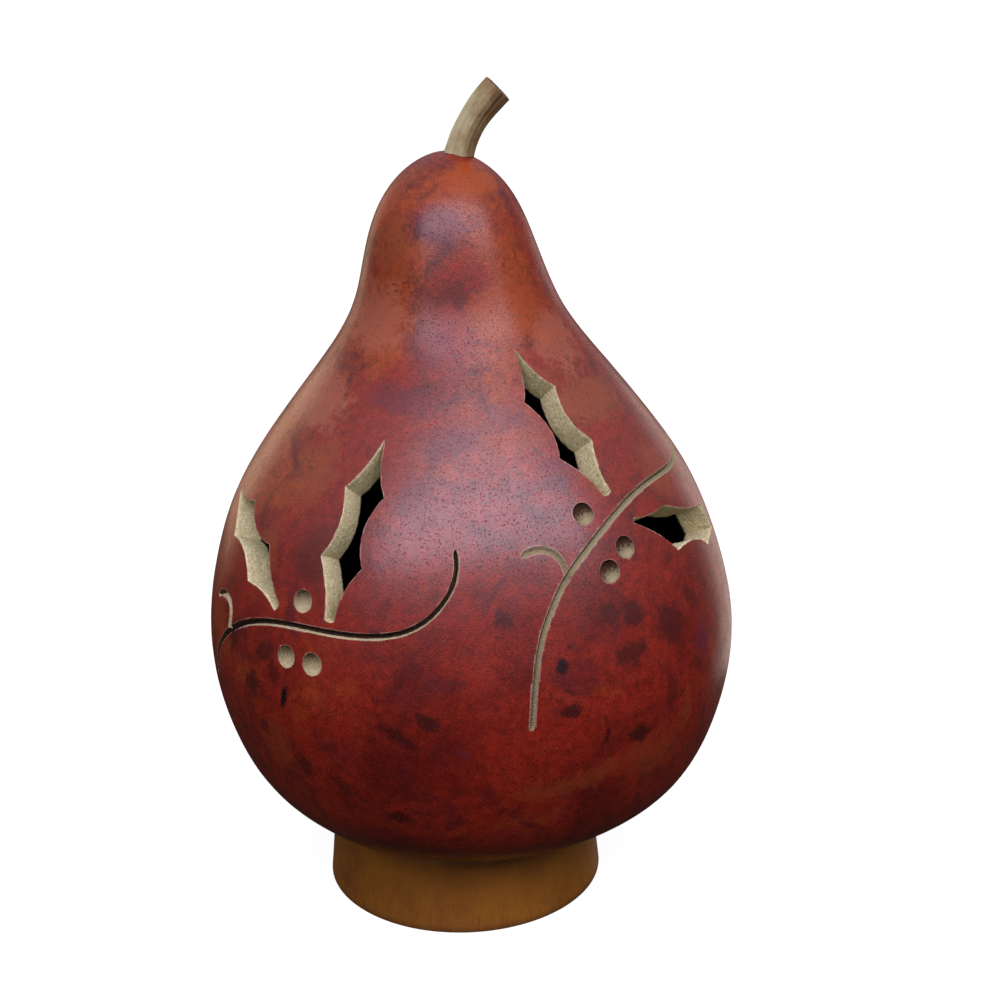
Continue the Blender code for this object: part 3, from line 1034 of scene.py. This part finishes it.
@dataclass(frozen=True)
class Carver:
    """The saw, drill and gouge: makes the solids that are taken out of the shell."""

    form: GourdForm
    # the stalk's end is rounded off through these shares of its half width
    stalk_end: tuple[Pair, ...] = ((-0.30, 0.20), (-0.20, 0.60))
    arc_steps: int = 26
    # a leaf's wall has points at these depths, from above the skin to inside the cavity
    depths: tuple[float, ...] = (-3.0, -0.5, 0.1, 0.7, *(1.6 + i for i in range(10)), 12.0, 16.0)
    # the edge breaks away by this much at the skin, over this depth
    chip: float = 0.6
    chip_depth: float = 0.7
    tear: float = 0.22
    berry_radius: float = 4.0
    berry_segments: int = 40
    # a groove's right half: (half width, depth) above the skin, then (half width, share of its depth)
    groove_lip: tuple[Pair, ...] = ((1.62, -1.5), (1.45, -0.2), (1.24, 0.3))
    groove_wall: tuple[Pair, ...] = ((0.98, 0.26), (0.70, 0.50), (0.42, 0.76), (0.0, 1.0))
    groove_pitch: float = 1.1
    groove_taper: float = 1.8
    tendril_share: float = 0.55

    def leaf_side(self, side: Side, length: float) -> np.ndarray:
        """The edge of one side of a leaf, from its stalk to just before its tip."""
        places = np.array(side) * (length, 1.0)
        t = (np.arange(self.arc_steps) / self.arc_steps)[:, None]
        parts = [np.array(self.stalk_end) * side[0][1]]
        for start, control, end in zip(places[:-2:2], places[1:-1:2], places[2::2]):
            parts.append((1 - t) ** 2 * start + 2 * t * (1 - t) * control + t**2 * end)
        return np.concatenate(parts)

    def leaf(self, name: str, leaf: Leaf) -> bpy.types.Object:
        """A leaf-shaped plug with a torn wall, square to the skin all round.

        Args:
            name: the cutter's name.
            leaf: the leaf.

        Returns:
            The cutter.
        """
        upper = self.leaf_side(leaf.upper, leaf.length)
        lower = self.leaf_side(leaf.lower, leaf.length)[::-1] * (1.0, -1.0)
        half = len(upper)
        loop = np.concatenate([upper, [(leaf.length, 0.0)], lower])
        share = np.clip(loop[:, 0] / leaf.length, 0.0, 1.0)
        loop[:, 1] += leaf.bow * 4 * share * (1 - share)
        ahead = np.roll(loop, -1, axis=0) - np.roll(loop, 1, axis=0)
        outward = np.stack([-ahead[:, 1], ahead[:, 0]], axis=1)
        outward /= np.linalg.norm(outward, axis=1)[:, None]
        levels = [self.leaf_level(loop, outward, leaf, depth) for depth in self.depths]
        count = len(loop)
        faces = grid_faces(len(levels), count)
        for base in (0, (len(levels) - 1) * count):
            for i in range(half - 1):
                faces.append((base + i, base + i + 1, base + 2 * half - i - 1, base + 2 * half - i))
            faces.append((base + half - 1, base + half, base + half + 1))
        return mesh_object(name, np.concatenate(levels), faces, Face.PITH)

    def leaf_level(self, loop: np.ndarray, outward: np.ndarray, leaf: Leaf, depth: float) -> np.ndarray:
        """One level of a leaf's wall.

        Args:
            loop: the leaf's outline on the flattened skin.
            outward: the outline's normals.
            leaf: the leaf.
            depth: how deep the level is.

        Returns:
            The level's points.
        """
        heading = math.radians(leaf.direction)
        turn = np.array([[math.cos(heading), math.sin(heading)], [-math.sin(heading), math.cos(heading)]])

        def on_skin(flat: np.ndarray) -> np.ndarray:
            """The points on the gourd for points on the flattened skin."""
            right, up = (flat @ turn).T
            return self.form.skin_point(*self.form.walk(leaf.stalk, right, up), depth)

        rough = on_skin(loop)
        torn = self.tear * (grain(rough, 1.9) + 0.6 * grain(rough, 0.9, 1.0))
        away = self.chip * np.interp(depth, (-0.5, self.chip_depth), (1.0, 0.0))
        return on_skin(loop + outward * (torn + away)[:, None])

    def berry(self, name: str, place: Pair) -> bpy.types.Object:
        """A ball whose lower half is the drilled dimple.

        Args:
            name: the cutter's name.
            place: its (azimuth, height).

        Returns:
            The cutter.
        """
        rows = self.berry_segments // 2
        polar = np.linspace(0.0, np.pi, rows + 1)[1:-1]
        turn = np.linspace(0.0, 2 * np.pi, self.berry_segments, endpoint=False)
        ring = np.stack([np.cos(turn), np.sin(turn)], axis=-1)
        unit = np.concatenate(
            [
                np.sin(polar)[:, None, None] * ring[None],
                np.broadcast_to(np.cos(polar)[:, None, None], (rows - 1, self.berry_segments, 1)),
            ],
            axis=-1,
        ).reshape(-1, 3)
        unit = np.concatenate([unit, [(0.0, 0.0, 1.0), (0.0, 0.0, -1.0)]])
        centre = self.form.skin_point(*place)
        rough = centre + unit * self.berry_radius
        points = rough + unit * (0.14 * grain(rough, 1.3) + 0.06 * grain(rough, 0.7))[:, None]
        count = self.berry_segments
        faces = grid_faces(rows - 1, count)
        last = (rows - 2) * count
        top = len(points) - 2
        for i in range(count):
            j = (i + 1) % count
            faces.append((top, i, j))
            faces.append((top + 1, last + j, last + i))
        return mesh_object(name, points, faces, Face.PITH)

    def gouge(self, name: str, route: tuple[Pair, ...], sprig: Sprig) -> bpy.types.Object:
        """A bar with the gouge's section that follows a route over the skin.

        Args:
            name: the cutter's name.
            route: the (azimuth, height) points that it passes through.
            sprig: the sprig that it belongs to.

        Returns:
            The cutter.
        """
        rough_places = smooth_curve(route, 50)
        length = lengths_along(self.form.skin_point(*rough_places.T))[-1]
        places = smooth_curve(route, max(12, round(length / self.groove_pitch)))
        middles = self.form.skin_point(*places.T)
        lifts = self.form.skin_point(*places.T, -1.0) - middles
        sides = np.cross(np.gradient(middles, axis=0), lifts)
        sides /= np.linalg.norm(sides, axis=1)[:, None]
        along = lengths_along(middles)
        to_end = np.minimum(along, along[-1] - along)
        size = 0.5 + 0.5 * np.clip(to_end / self.groove_taper, 0.0, 1.0) ** 0.6
        way = along / along[-1]
        if route is sprig.vine:
            size *= np.interp(way, (0.0, 0.4, 0.6, 1.0), (sprig.slimmed[0], 1.0, 1.0, sprig.slimmed[1]))
        deep = sprig.groove_depth * (1.0 if route is sprig.vine else self.tendril_share)
        right = np.array([*self.groove_lip, *((half, share * deep) for half, share in self.groove_wall)])
        section = np.concatenate([right, right[-2::-1] * (-1.0, 1.0)])
        width = section[None, :, 0] * size[:, None]
        depth = section[None, :, 1] * np.where(section[:, 1] > 0.5, size[:, None], 1.0)
        points = middles[:, None] + sides[:, None] * width[..., None] - lifts[:, None] * depth[..., None]
        torn = 0.13 * grain(points, 1.5, 2.0) + 0.10 * grain(points, 0.7, 3.0)
        points = points + sides[:, None] * (torn * np.sign(section[:, 0]))[..., None]
        count = len(section)
        faces = grid_faces(len(points), count)
        faces.append(tuple(range(count)))
        faces.append(tuple(len(points) * count - 1 - i for i in range(count)))
        item = mesh_object(name, points, faces)
        # painted shade: the groove's root, and its upper wall, get the dark pith finish
        dark = [
            level >= sprig.shade_depth or (side > 0 and level >= sprig.side_shade_depth)
            for side, level in (section[:-1] + section[1:]) / 2
        ]
        kinds = [Face.PAINTED_SHADE if column else Face.PITH for column in (*dark, False)]
        kinds = [int(kind) for kind in kinds] * (len(points) - 1) + [int(Face.PITH)] * 2
        item.data.polygons.foreach_set("material_index", kinds)
        return item

    def sprig(self, sprig: Sprig) -> list[bpy.types.Object]:
        """Every cutter of a sprig."""
        cutters = [self.leaf(f"{sprig.name}_leaf_{i}", leaf) for i, leaf in enumerate(sprig.leaves)]
        cutters += [self.berry(f"{sprig.name}_berry_{i}", place) for i, place in enumerate(sprig.berries)]
        cutters.append(self.gouge(f"{sprig.name}_vine", sprig.vine, sprig))
        cutters.append(self.gouge(f"{sprig.name}_tendril", sprig.tendril, sprig))
        return cutters


@dataclass
class CarvedShell:
    """The hollow gourd: a turned wall with a light hole, out of which the sprigs are carved."""

    form: GourdForm
    wall: float = 11.0
    light_hole_radius: float = 30.0
    columns: int = 256
    outer_rows: int = 168
    inner_rows: int = 56
    # the rind isn't quite even: it dips by up to this much, and by this much at the crown
    dip: float = 0.35
    crown_dip: float = 0.2
    # the gouge's heat browns the pith this far from its route, and painted shade darkens a berry's dimple
    # this far from its middle
    gouge_heat: float = 2.6
    berry_shade_reach: float = 4.6
    # the shares of a sprig's singe that its vine and its tendril got
    vine_share: float = 0.42
    tendril_share: float = 0.5
    sprigs: tuple[Sprig, ...] = (LEFT_SPRIG, RIGHT_SPRIG, LEFT_SPRIG.moved("back_sprig", 240.0, 6.0))

    def profile(self) -> np.ndarray:
        """(radius, height) points down the outside and back up the inside, without the poles."""
        curve = self.form.curve
        inner = curve - self.wall * self.form.normals
        upper = curve[:, 1] > self.form.widest_height
        outside = resample(curve[upper | (curve[:, 0] > self.light_hole_radius)], self.outer_rows)
        inside = resample(inner[upper | (inner[:, 0] > self.light_hole_radius)], self.inner_rows)[::-1]
        outside[-1, 0] = self.light_hole_radius
        inside[0, 0] = self.light_hole_radius
        return np.concatenate([outside[1:], inside[:-1]])

    def wall_mesh(self, materials: list[bpy.types.Material]) -> bpy.types.Object:
        """The wall before it is carved.

        Args:
            materials: the finishes, in the order of Face.

        Returns:
            The object.
        """
        profile = self.profile()
        turn = np.linspace(0.0, 2 * np.pi, self.columns, endpoint=False)
        radius, height = profile[:, 0, None], profile[:, 1, None]
        x = self.form.shift(height) + radius * np.sin(turn)
        grid = np.stack(np.broadcast_arrays(x, -radius * np.cos(turn), height), axis=-1)
        outside = self.outer_rows - 1
        sunk = self.dip * (0.5 + 0.5 * grain(grid[:outside], 34.0)) + 0.1
        sunk += 0.06 * grain(grid[:outside], 9.0, 4.0)
        grid[:outside, :, :2] *= 1.0 - (sunk / np.maximum(radius[:outside], 30.0))[..., None]
        crown = self.form.curve[0, 1]
        poles = [
            (self.form.shift(crown), 0.0, crown - self.crown_dip),
            (self.form.shift(crown - self.wall), 0.0, crown - self.wall),
        ]
        rows, count = grid.shape[:2]
        faces = grid_faces(rows, count)
        kinds = [Face.SKIN] * ((outside - 1) * count) + [Face.PITH] * count
        kinds += [Face.LINING] * (len(faces) - len(kinds))
        last = (rows - 1) * count
        for i in range(count):
            j = (i + 1) % count
            faces.append((rows * count, i, j))
            faces.append((rows * count + 1, last + j, last + i))
            kinds += [Face.SKIN, Face.LINING]
        item = mesh_object("carved_shell", np.concatenate([grid.reshape(-1, 3), poles]), faces)
        for material in materials:
            item.data.materials.append(material)
        item.data.polygons.foreach_set("material_index", [int(kind) for kind in kinds])
        return item

    def carve(self, item: bpy.types.Object, materials: list[bpy.types.Material]) -> None:
        """Take the sprigs out of the wall.

        Args:
            item: the wall.
            materials: the finishes, in the order of Face.
        """
        carver = Carver(self.form)
        tools = bpy.data.collections.new("carving_tools")
        bpy.context.scene.collection.children.link(tools)
        for sprig in self.sprigs:
            for cutter in carver.sprig(sprig):
                bpy.context.scene.collection.objects.unlink(cutter)
                tools.objects.link(cutter)
                for material in materials:
                    cutter.data.materials.append(material)
        boolean = item.modifiers.new("carving", "BOOLEAN")
        boolean.operation = "DIFFERENCE"
        boolean.solver = "EXACT"
        boolean.operand_type = "COLLECTION"
        boolean.collection = tools
        bpy.context.view_layer.update()
        depsgraph = bpy.context.evaluated_depsgraph_get()
        carved = bpy.data.meshes.new_from_object(item.evaluated_get(depsgraph), depsgraph=depsgraph)
        item.modifiers.clear()
        item.data = carved
        for cutter in list(tools.objects):
            bpy.data.objects.remove(cutter, do_unlink=True)
        bpy.data.collections.remove(tools)

    def note_depths(self, mesh: bpy.types.Mesh) -> None:
        """Store how deep below the skin each point is, for the pith's finish."""
        points = mesh_points(mesh)
        across = np.hypot(points[:, 0] - self.form.shift(points[:, 2]), points[:, 1])
        curve = self.form.curve[::3]
        tree = search_tree(np.column_stack([curve, np.zeros(len(curve))]))
        note(mesh, "depth", [tree.find((r, z, 0.0))[2] for r, z in zip(across, points[:, 2])])

    def note_singed_and_shaded(self, mesh: bpy.types.Mesh) -> None:
        """Store how far the gouge's heat browned each point, and the painted shade on each berry dimple's
        upper wall.
        """
        points = mesh_points(mesh)
        singed_and_shaded = np.zeros(len(points))
        for sprig in self.sprigs:
            for route, share in ((sprig.vine, self.vine_share), (sprig.tendril, self.tendril_share)):
                middles = self.form.skin_point(*smooth_curve(route, 120).T)
                tree = search_tree(middles)
                box = (points > middles.min(axis=0) - self.gouge_heat).all(axis=1)
                box &= (points < middles.max(axis=0) + self.gouge_heat).all(axis=1)
                for i in np.flatnonzero(box):
                    if tree.find(points[i])[2] < self.gouge_heat:
                        singed_and_shaded[i] = share * sprig.singe_and_shade
            for azimuth, height in sprig.berries:
                # painted shade: the dimple's upper wall is painted darker, and its lit lower side less
                turn = math.radians(azimuth)
                lit_side = np.array((0.5 * math.cos(turn), 0.5 * math.sin(turn), -0.85))
                offset = points - self.form.skin_point(azimuth, height)
                near = np.linalg.norm(offset, axis=1) < self.berry_shade_reach
                singed_and_shaded[near] = sprig.singe_and_shade * np.clip(0.95 - 0.15 * (offset[near] @ lit_side), 0.0, 1.3)
        note(mesh, "singed_and_shaded", singed_and_shaded)

    def note_rubbed_edges(self, mesh: bpy.types.Mesh) -> None:
        """Store which points of the skin lie on a cut, for the rubbed line along it."""
        on_skin = np.zeros(len(mesh.vertices), dtype=bool)
        on_cut = np.zeros(len(mesh.vertices), dtype=bool)
        for face in mesh.polygons:
            (on_skin if face.material_index == Face.SKIN else on_cut)[list(face.vertices)] = True
        note(mesh, "rubbed", (on_skin & on_cut).astype(np.float32))

    def build(self) -> bpy.types.Object:
        """Make, carve and dress the shell."""
        materials = [
            DyedRind(self.form).material(),
            CutPith("sawn_gourd_pith").material(),
            LampBlack().material(),
            # the dark pith for the groove faces that carry painted shade
            CutPith("painted_shade_gourd_pith", "#55391f", "#23150c", "#0a0503").material(),
        ]
        item = self.wall_mesh(materials)
        self.carve(item, materials)
        self.note_depths(item.data)
        self.note_singed_and_shaded(item.data)
        self.note_rubbed_edges(item.data)
        soften(item, 38.0)
        hand_in(item, "gourd_shell")
        return item


@dataclass
class DriedStem:
    """The ribbed stalk, bent to one side, its foot scribed to the gourd's crown."""

    form: GourdForm
    # (X, height, radius) stations from inside the crown to the cut end
    stations: tuple[tuple[float, float, float], ...] = (
        (-1.6, 281.0, 5.9),
        (-0.5, 285.2, 5.5),
        (1.3, 290.0, 5.3),
        (4.8, 296.2, 5.3),
        (9.0, 301.6, 5.6),
        (13.6, 306.3, 5.8),
    )
    clearance: float = 0.3
    rows: int = 90
    columns: int = 120
    ribs: int = 5
    rib_depth: float = 0.055
    twist: float = 0.35
    # drying took this much off its radius
    shrunk: float = 0.3
    # the cut end's rings: (share of the rim's size, how far beyond the rim)
    end_rings: tuple[Pair, ...] = ((0.93, -0.15), (0.80, -0.5), (0.55, -0.75), (0.30, -0.7), (0.12, -1.3))

    def surface(self) -> tuple[np.ndarray, np.ndarray, np.ndarray]:
        """The stalk's side.

        Returns:
            Its points, the same points on a straightened stalk, and how deep in a furrow each is.
        """
        fine = smooth_curve(self.stations, self.rows * 2)
        centre = np.stack([fine[:, 0], np.zeros(len(fine)), fine[:, 1]], axis=1)
        ahead = np.gradient(centre, axis=0)
        ahead /= np.linalg.norm(ahead, axis=1)[:, None]
        side = np.stack([ahead[:, 2], np.zeros(len(fine)), -ahead[:, 0]], axis=1)
        deep = np.array([0.0, 1.0, 0.0])
        along = lengths_along(centre)
        turn = np.linspace(0.0, 2 * np.pi, self.columns, endpoint=False)
        wound = turn[None, :] + self.twist * (along / along[-1])[:, None]
        ribbed = np.cos(self.ribs * wound)
        ribbed = np.sign(ribbed) * np.abs(ribbed) ** 0.8
        minor = np.cos(3 * self.ribs * wound + 1.1) * 0.35
        reach = fine[:, 2, None] * (1 + self.rib_depth * (ribbed + minor))
        ring = np.cos(turn)[None, :, None] * side[:, None] + np.sin(turn)[None, :, None] * deep
        x, y = reach * np.cos(turn), reach * np.sin(turn)
        straight = np.stack(np.broadcast_arrays(x, y, along[:, None]), axis=-1)
        uneven = 0.10 * grain(straight * (1.0, 1.0, 0.22), 2.2, 5.0)
        uneven += 0.05 * grain(straight * (1.0, 1.0, 0.1), 0.8) - self.shrunk
        points = centre[:, None] + ring * (reach + uneven)[..., None]
        hollow = np.clip(-(ribbed + minor) * 0.5 - 0.1, 0.0, 1.0)
        return points, straight, hollow

    def scribed(self, columns: Sequence[np.ndarray]) -> list[np.ndarray]:
        """Start each line of the surface where it leaves the gourd.

        Args:
            columns: arrays over the surface's grid, the points first.

        Returns:
            The same arrays with fewer rows, the first of them on the crown.
        """
        points = columns[0]
        outside = self.form.gap(points) - self.clearance
        outside = np.where(points[..., 2] > self.form.outline[0][1] + self.clearance, 1.0, outside)
        rows = np.arange(len(points))
        results = [np.empty((self.rows, *column.shape[1:])) for column in columns]
        for j in range(points.shape[1]):
            below = np.where(outside[:, j] <= 0)[0]
            first = below[-1] if len(below) else 0
            gap = outside[first : first + 2, j]
            start = first + (-gap[0] / (gap[1] - gap[0]) if gap[1] > gap[0] else 0.0)
            where = np.linspace(start, len(points) - 1, self.rows)
            for result, column in zip(results, columns):
                flat = column[:, j].reshape(len(rows), -1)
                lines = [np.interp(where, rows, values) for values in flat.T]
                result[:, j] = np.stack(lines, axis=-1).reshape(result[:, j].shape)
        return results

    def build(self) -> bpy.types.Object:
        """Make and dress the stem."""
        points, straight, hollow = self.scribed(self.surface())
        rim, rim_straight = points[-1], straight[-1]
        middle, flat_middle = rim.mean(axis=0), rim_straight.mean(axis=0)
        ahead = middle - points[-6].mean(axis=0)
        ahead /= np.linalg.norm(ahead)
        levels = [middle + (rim - middle) * size + ahead * rise for size, rise in self.end_rings]
        flats = [flat_middle + (rim_straight - flat_middle) * size for size, _ in self.end_rings]
        foot = points[0].mean(axis=0)
        count = self.columns
        total = self.rows + len(levels)
        grid = np.concatenate([points, levels]).reshape(-1, 3)
        straights = np.concatenate([straight, flats]).reshape(-1, 3)
        hollows = np.concatenate([hollow.ravel(), np.zeros(len(levels) * count)])
        faces = grid_faces(total, count)
        faces.append(tuple(range((total - 1) * count, total * count)))
        foot_number = len(grid)
        faces += [(foot_number, (i + 1) % count, i) for i in range(count)]
        item = mesh_object("dried_stem", np.concatenate([grid, [foot]]), faces)
        mesh = item.data
        attribute = mesh.attributes.new("straight", "FLOAT_VECTOR", "POINT")
        attribute.data.foreach_set("vector", np.concatenate([straights, [straights[0]]]).ravel() * MM)
        note(mesh, "hollow", [*hollows, 0.0])
        mesh.materials.append(DriedStalk().material())
        mesh.materials.append(SnippedEnd().material())
        side = (self.rows - 1) * count
        ends = range(side, side + (total - self.rows) * count + 1)
        for i in ends:
            mesh.polygons[i].material_index = 1
        soften(item, 50.0)
        hand_in(item, "stem")
        return item


@dataclass
class FootRing:
    """A ring sawn from another gourd, its top edge scribed to the gourd that sits in it."""

    form: GourdForm
    centre_x: float = -5.0
    # (radius, height) stations of its two walls, from the top down and from the floor up
    outside: tuple[Pair, ...] = ((51.3, 36.0), (51.9, 28.0), (52.8, 15.0), (54.3, 0.0))
    inside: tuple[Pair, ...] = ((46.3, 0.0), (44.6, 15.0), (43.2, 36.0))
    clearance: float = 0.3
    edge_round: float = 0.8
    # its top edge lies between these heights all round
    top_range: Pair = (14.0, 45.0)
    # the outer top edge's rounding, (below the top, inwards), and the same at the inner one
    outer_rounding: tuple[Pair, ...] = ((0.05, 0.35), (0.35, 0.06))
    inner_rounding: Pair = (0.05, 0.35)
    columns: int = 288
    wall_rows: int = 26
    edge_rows: int = 6
    top_rows: int = 5

    def wall_radius(self, height: Any, share: float) -> Any:
        """The radius of a surface between the walls.

        Args:
            height: the height.
            share: 0 on the outer wall and 1 on the inner one.

        Returns:
            The radius.
        """
        outer = smooth_curve(self.outside, 80)[::-1]
        inner = smooth_curve(self.inside, 80)
        outer_radius = np.interp(height, outer[:, 1], outer[:, 0])
        inner_radius = np.interp(height, inner[:, 1], inner[:, 0])
        return outer_radius + (inner_radius - outer_radius) * share

    def point(self, height: Any, share: float, turn: np.ndarray, inset: Any = 0.0) -> np.ndarray:
        """Points of a surface between the walls.

        Args:
            height: their heights.
            share: 0 on the outer wall and 1 on the inner one.
            turn: their angles.
            inset: how far they are moved towards the axis.

        Returns:
            The points.
        """
        radius = self.wall_radius(height, share) - inset
        x = self.centre_x + radius * np.sin(turn)
        return np.stack(np.broadcast_arrays(x, -radius * np.cos(turn), height), axis=-1)

    def top(self, share: float, turn: np.ndarray) -> np.ndarray:
        """How high a surface between the walls reaches before it meets the gourd."""
        low, high = (np.full(len(turn), height) for height in self.top_range)
        for _ in range(30):
            middle = (low + high) / 2
            free = self.form.gap(self.point(middle, share, turn)) > self.clearance
            low = np.where(free, middle, low)
            high = np.where(free, high, middle)
        return low

    def build(self) -> bpy.types.Object:
        """Make and dress the ring."""
        turn = np.linspace(0.0, 2 * np.pi, self.columns, endpoint=False)
        outer_top, inner_top = self.top(0.0, turn), self.top(1.0, turn)
        rows = []
        for share in np.linspace(0.0, 1.0, self.top_rows + 2)[1:-1]:
            rows.append(self.point(self.top(share, turn), share, turn))
        rows = rows[::-1]
        for fall, inset in self.outer_rounding:
            rows.append(self.point(outer_top - fall, 0.0, turn, inset))
        floor = self.edge_round
        outer_start, inner_end = outer_top - 0.8, inner_top - 0.4
        for share in np.linspace(0.0, 1.0, self.wall_rows)[1:]:
            rows.append(self.point(outer_start * (1 - share) + floor * share, 0.0, turn))
        for angle in np.linspace(0.0, np.pi / 2, self.edge_rows)[1:]:
            inset = self.edge_round * (1 - math.cos(angle))
            rows.append(self.point(floor * (1 - math.sin(angle)), 0.0, turn, inset))
        for angle in np.linspace(np.pi / 2, 0.0, self.edge_rows)[:-1]:
            inset = -self.edge_round * (1 - math.cos(angle))
            rows.append(self.point(floor * (1 - math.sin(angle)), 1.0, turn, inset))
        for share in np.linspace(0.0, 1.0, self.wall_rows):
            rows.append(self.point(floor * (1 - share) + inner_end * share, 1.0, turn))
        fall, inset = self.inner_rounding
        rows.append(self.point(inner_top - fall, 1.0, turn, -inset))
        grid = np.stack([np.broadcast_to(row, (self.columns, 3)) for row in rows])
        centre = np.array([self.centre_x, 0.0])
        uneven = 0.10 * grain(grid, 26.0, 6.0) - 0.12 + 0.03 * grain(grid * (1.0, 1.0, 0.15), 1.4)
        outward = grid[..., :2] - centre
        outward = outward / np.linalg.norm(outward, axis=-1)[..., None]
        grid = grid.copy()
        grid[..., :2] += outward * uneven[..., None]
        count = self.columns
        faces = grid_faces(len(grid), count)
        last = (len(grid) - 1) * count
        faces += [(i, (i + 1) % count, last + (i + 1) % count, last + i) for i in range(count)]
        item = mesh_object("foot_ring_turned", grid, faces)
        item.data.materials.append(StainedRind().material())
        soften(item, 60.0)
        hand_in(item, "foot_ring")
        return item


# ---------------------------------------------------------------- the studio


@dataclass
class Studio:
    """A pale floor, soft lights and the camera."""

    floor_half: float = 30.0
    camera_place: tuple[float, float, float] = (0.0116, -0.6084, 0.3631)
    camera_fall: float = 18.95
    camera_roll: float = -1.05
    focal_length: float = 61.2

    def lay_floor(self) -> bpy.types.Object:
        """A wide pale floor, which isn't part of the lantern."""
        half = self.floor_half
        mesh = bpy.data.meshes.new("floor")
        corners = [(-half, -half, 0.0), (half, -half, 0.0), (half, half, 0.0), (-half, half, 0.0)]
        mesh.from_pydata(corners, [], [(0, 1, 2, 3)])
        floor = bpy.data.objects.new("floor", mesh)
        bpy.context.scene.collection.objects.link(floor)
        inputs = {
            "Base Color": linear("#8c8b89"),
            "Roughness": 0.9,
            "Specular IOR Level": 0.1,
            "Emission Color": (1.0, 1.0, 1.0, 1.0),
            "Emission Strength": 0.86,
        }
        mesh.materials.append(Shading("pale_studio_floor").finished(inputs))
        floor.visible_diffuse = False
        floor.visible_glossy = False
        floor.visible_shadow = False
        return floor

    def hang_light(
        self, name: str, place: Sequence[float], aim: float, size: Pair, watts: float, colour: str
    ) -> None:
        """A soft box light.

        Args:
            name: the light's name.
            place: where it is, in metres.
            aim: the height on the lantern's middle line that it points at, in metres.
            size: its width and height, in metres.
            watts: its power.
            colour: its sRGB hex colour.
        """
        data = bpy.data.lights.new(name, "AREA")
        data.shape = "RECTANGLE"
        data.size, data.size_y = size
        data.energy = watts
        data.color = linear(colour)[:3]
        lamp = bpy.data.objects.new(name, data)
        lamp.location = place
        way = Vector((0.0, 0.0, aim)) - Vector(place)
        lamp.rotation_euler = way.to_track_quat("-Z", "Y").to_euler()
        bpy.context.scene.collection.objects.link(lamp)

    def light(self) -> None:
        """The key light over the viewer's shoulder, two rim lights, and a bright sky over a dark ground."""
        self.hang_light("key", (0.38, -2.05, 2.33), 0.17, (6.0, 1.42), 165.0, "#f1eaff")
        self.hang_light("right_rim", (1.14, 1.70, -0.25), 0.12, (0.9, 1.2), 3.7, "#ffe8dc")
        self.hang_light("left_rim", (-1.24, 1.62, 0.25), 0.15, (0.8, 1.0), 3.1, "#ffd6b0")
        world = bpy.data.worlds.new("studio")
        bpy.context.scene.world = world
        world.use_nodes = True
        tree = world.node_tree
        tree.nodes.clear()
        way = add_node(tree, "ShaderNodeTexCoord", {}).outputs["Generated"]
        height = add_node(tree, "ShaderNodeSeparateXYZ", {0: way}).outputs[2]
        around = add_node(tree, "ShaderNodeMapRange", {"Value": height, "From Min": -1.0, "From Max": 1.0})
        stops = {0.40: "#2e2722", 0.50: "#525154", 0.585: "#7c7c80", 0.675: "#a6a8ac", 0.85: "#d0d3d9"}
        sky = add_node(tree, "ShaderNodeValToRGB", {0: around.outputs[0]}, stops=stops)
        room = add_node(tree, "ShaderNodeBackground", {"Color": sky.outputs[0], "Strength": 1.0})
        backdrop = add_node(tree, "ShaderNodeBackground", {"Color": (1.0, 1.0, 1.0, 1.0), "Strength": 1.0})
        seen = add_node(tree, "ShaderNodeLightPath", {}).outputs["Is Camera Ray"]
        shown = {0: seen, 1: room.outputs[0], 2: backdrop.outputs[0]}
        both = add_node(tree, "ShaderNodeMixShader", shown)
        add_node(tree, "ShaderNodeOutputWorld", {"Surface": both.outputs[0]})

    def place_camera(self) -> None:
        """The camera, a little above the lantern and tipped down to it."""
        data = bpy.data.cameras.new("camera")
        data.lens = self.focal_length
        data.sensor_width = 36.0
        data.clip_end = 100.0
        camera = bpy.data.objects.new("camera", data)
        tip = Euler((math.radians(90.0 - self.camera_fall), 0.0, 0.0)).to_matrix()
        roll = Euler((0.0, 0.0, math.radians(self.camera_roll))).to_matrix()
        camera.location = self.camera_place
        camera.rotation_euler = (tip @ roll).to_euler()
        bpy.context.scene.collection.objects.link(camera)
        bpy.context.scene.camera = camera

    def build(self) -> None:
        """Set the studio up."""
        scene = bpy.context.scene
        scene.view_settings.view_transform = "Standard"
        self.lay_floor()
        self.light()
        self.place_camera()


def main() -> None:
    """Build the lantern and its studio."""
    logging.basicConfig(level=logging.INFO, format="%(name)s %(message)s")
    form = GourdForm()
    CarvedShell(form).build()
    DriedStem(form).build()
    FootRing(form).build()
    Studio().build()


if __name__ == "__main__":
    main()
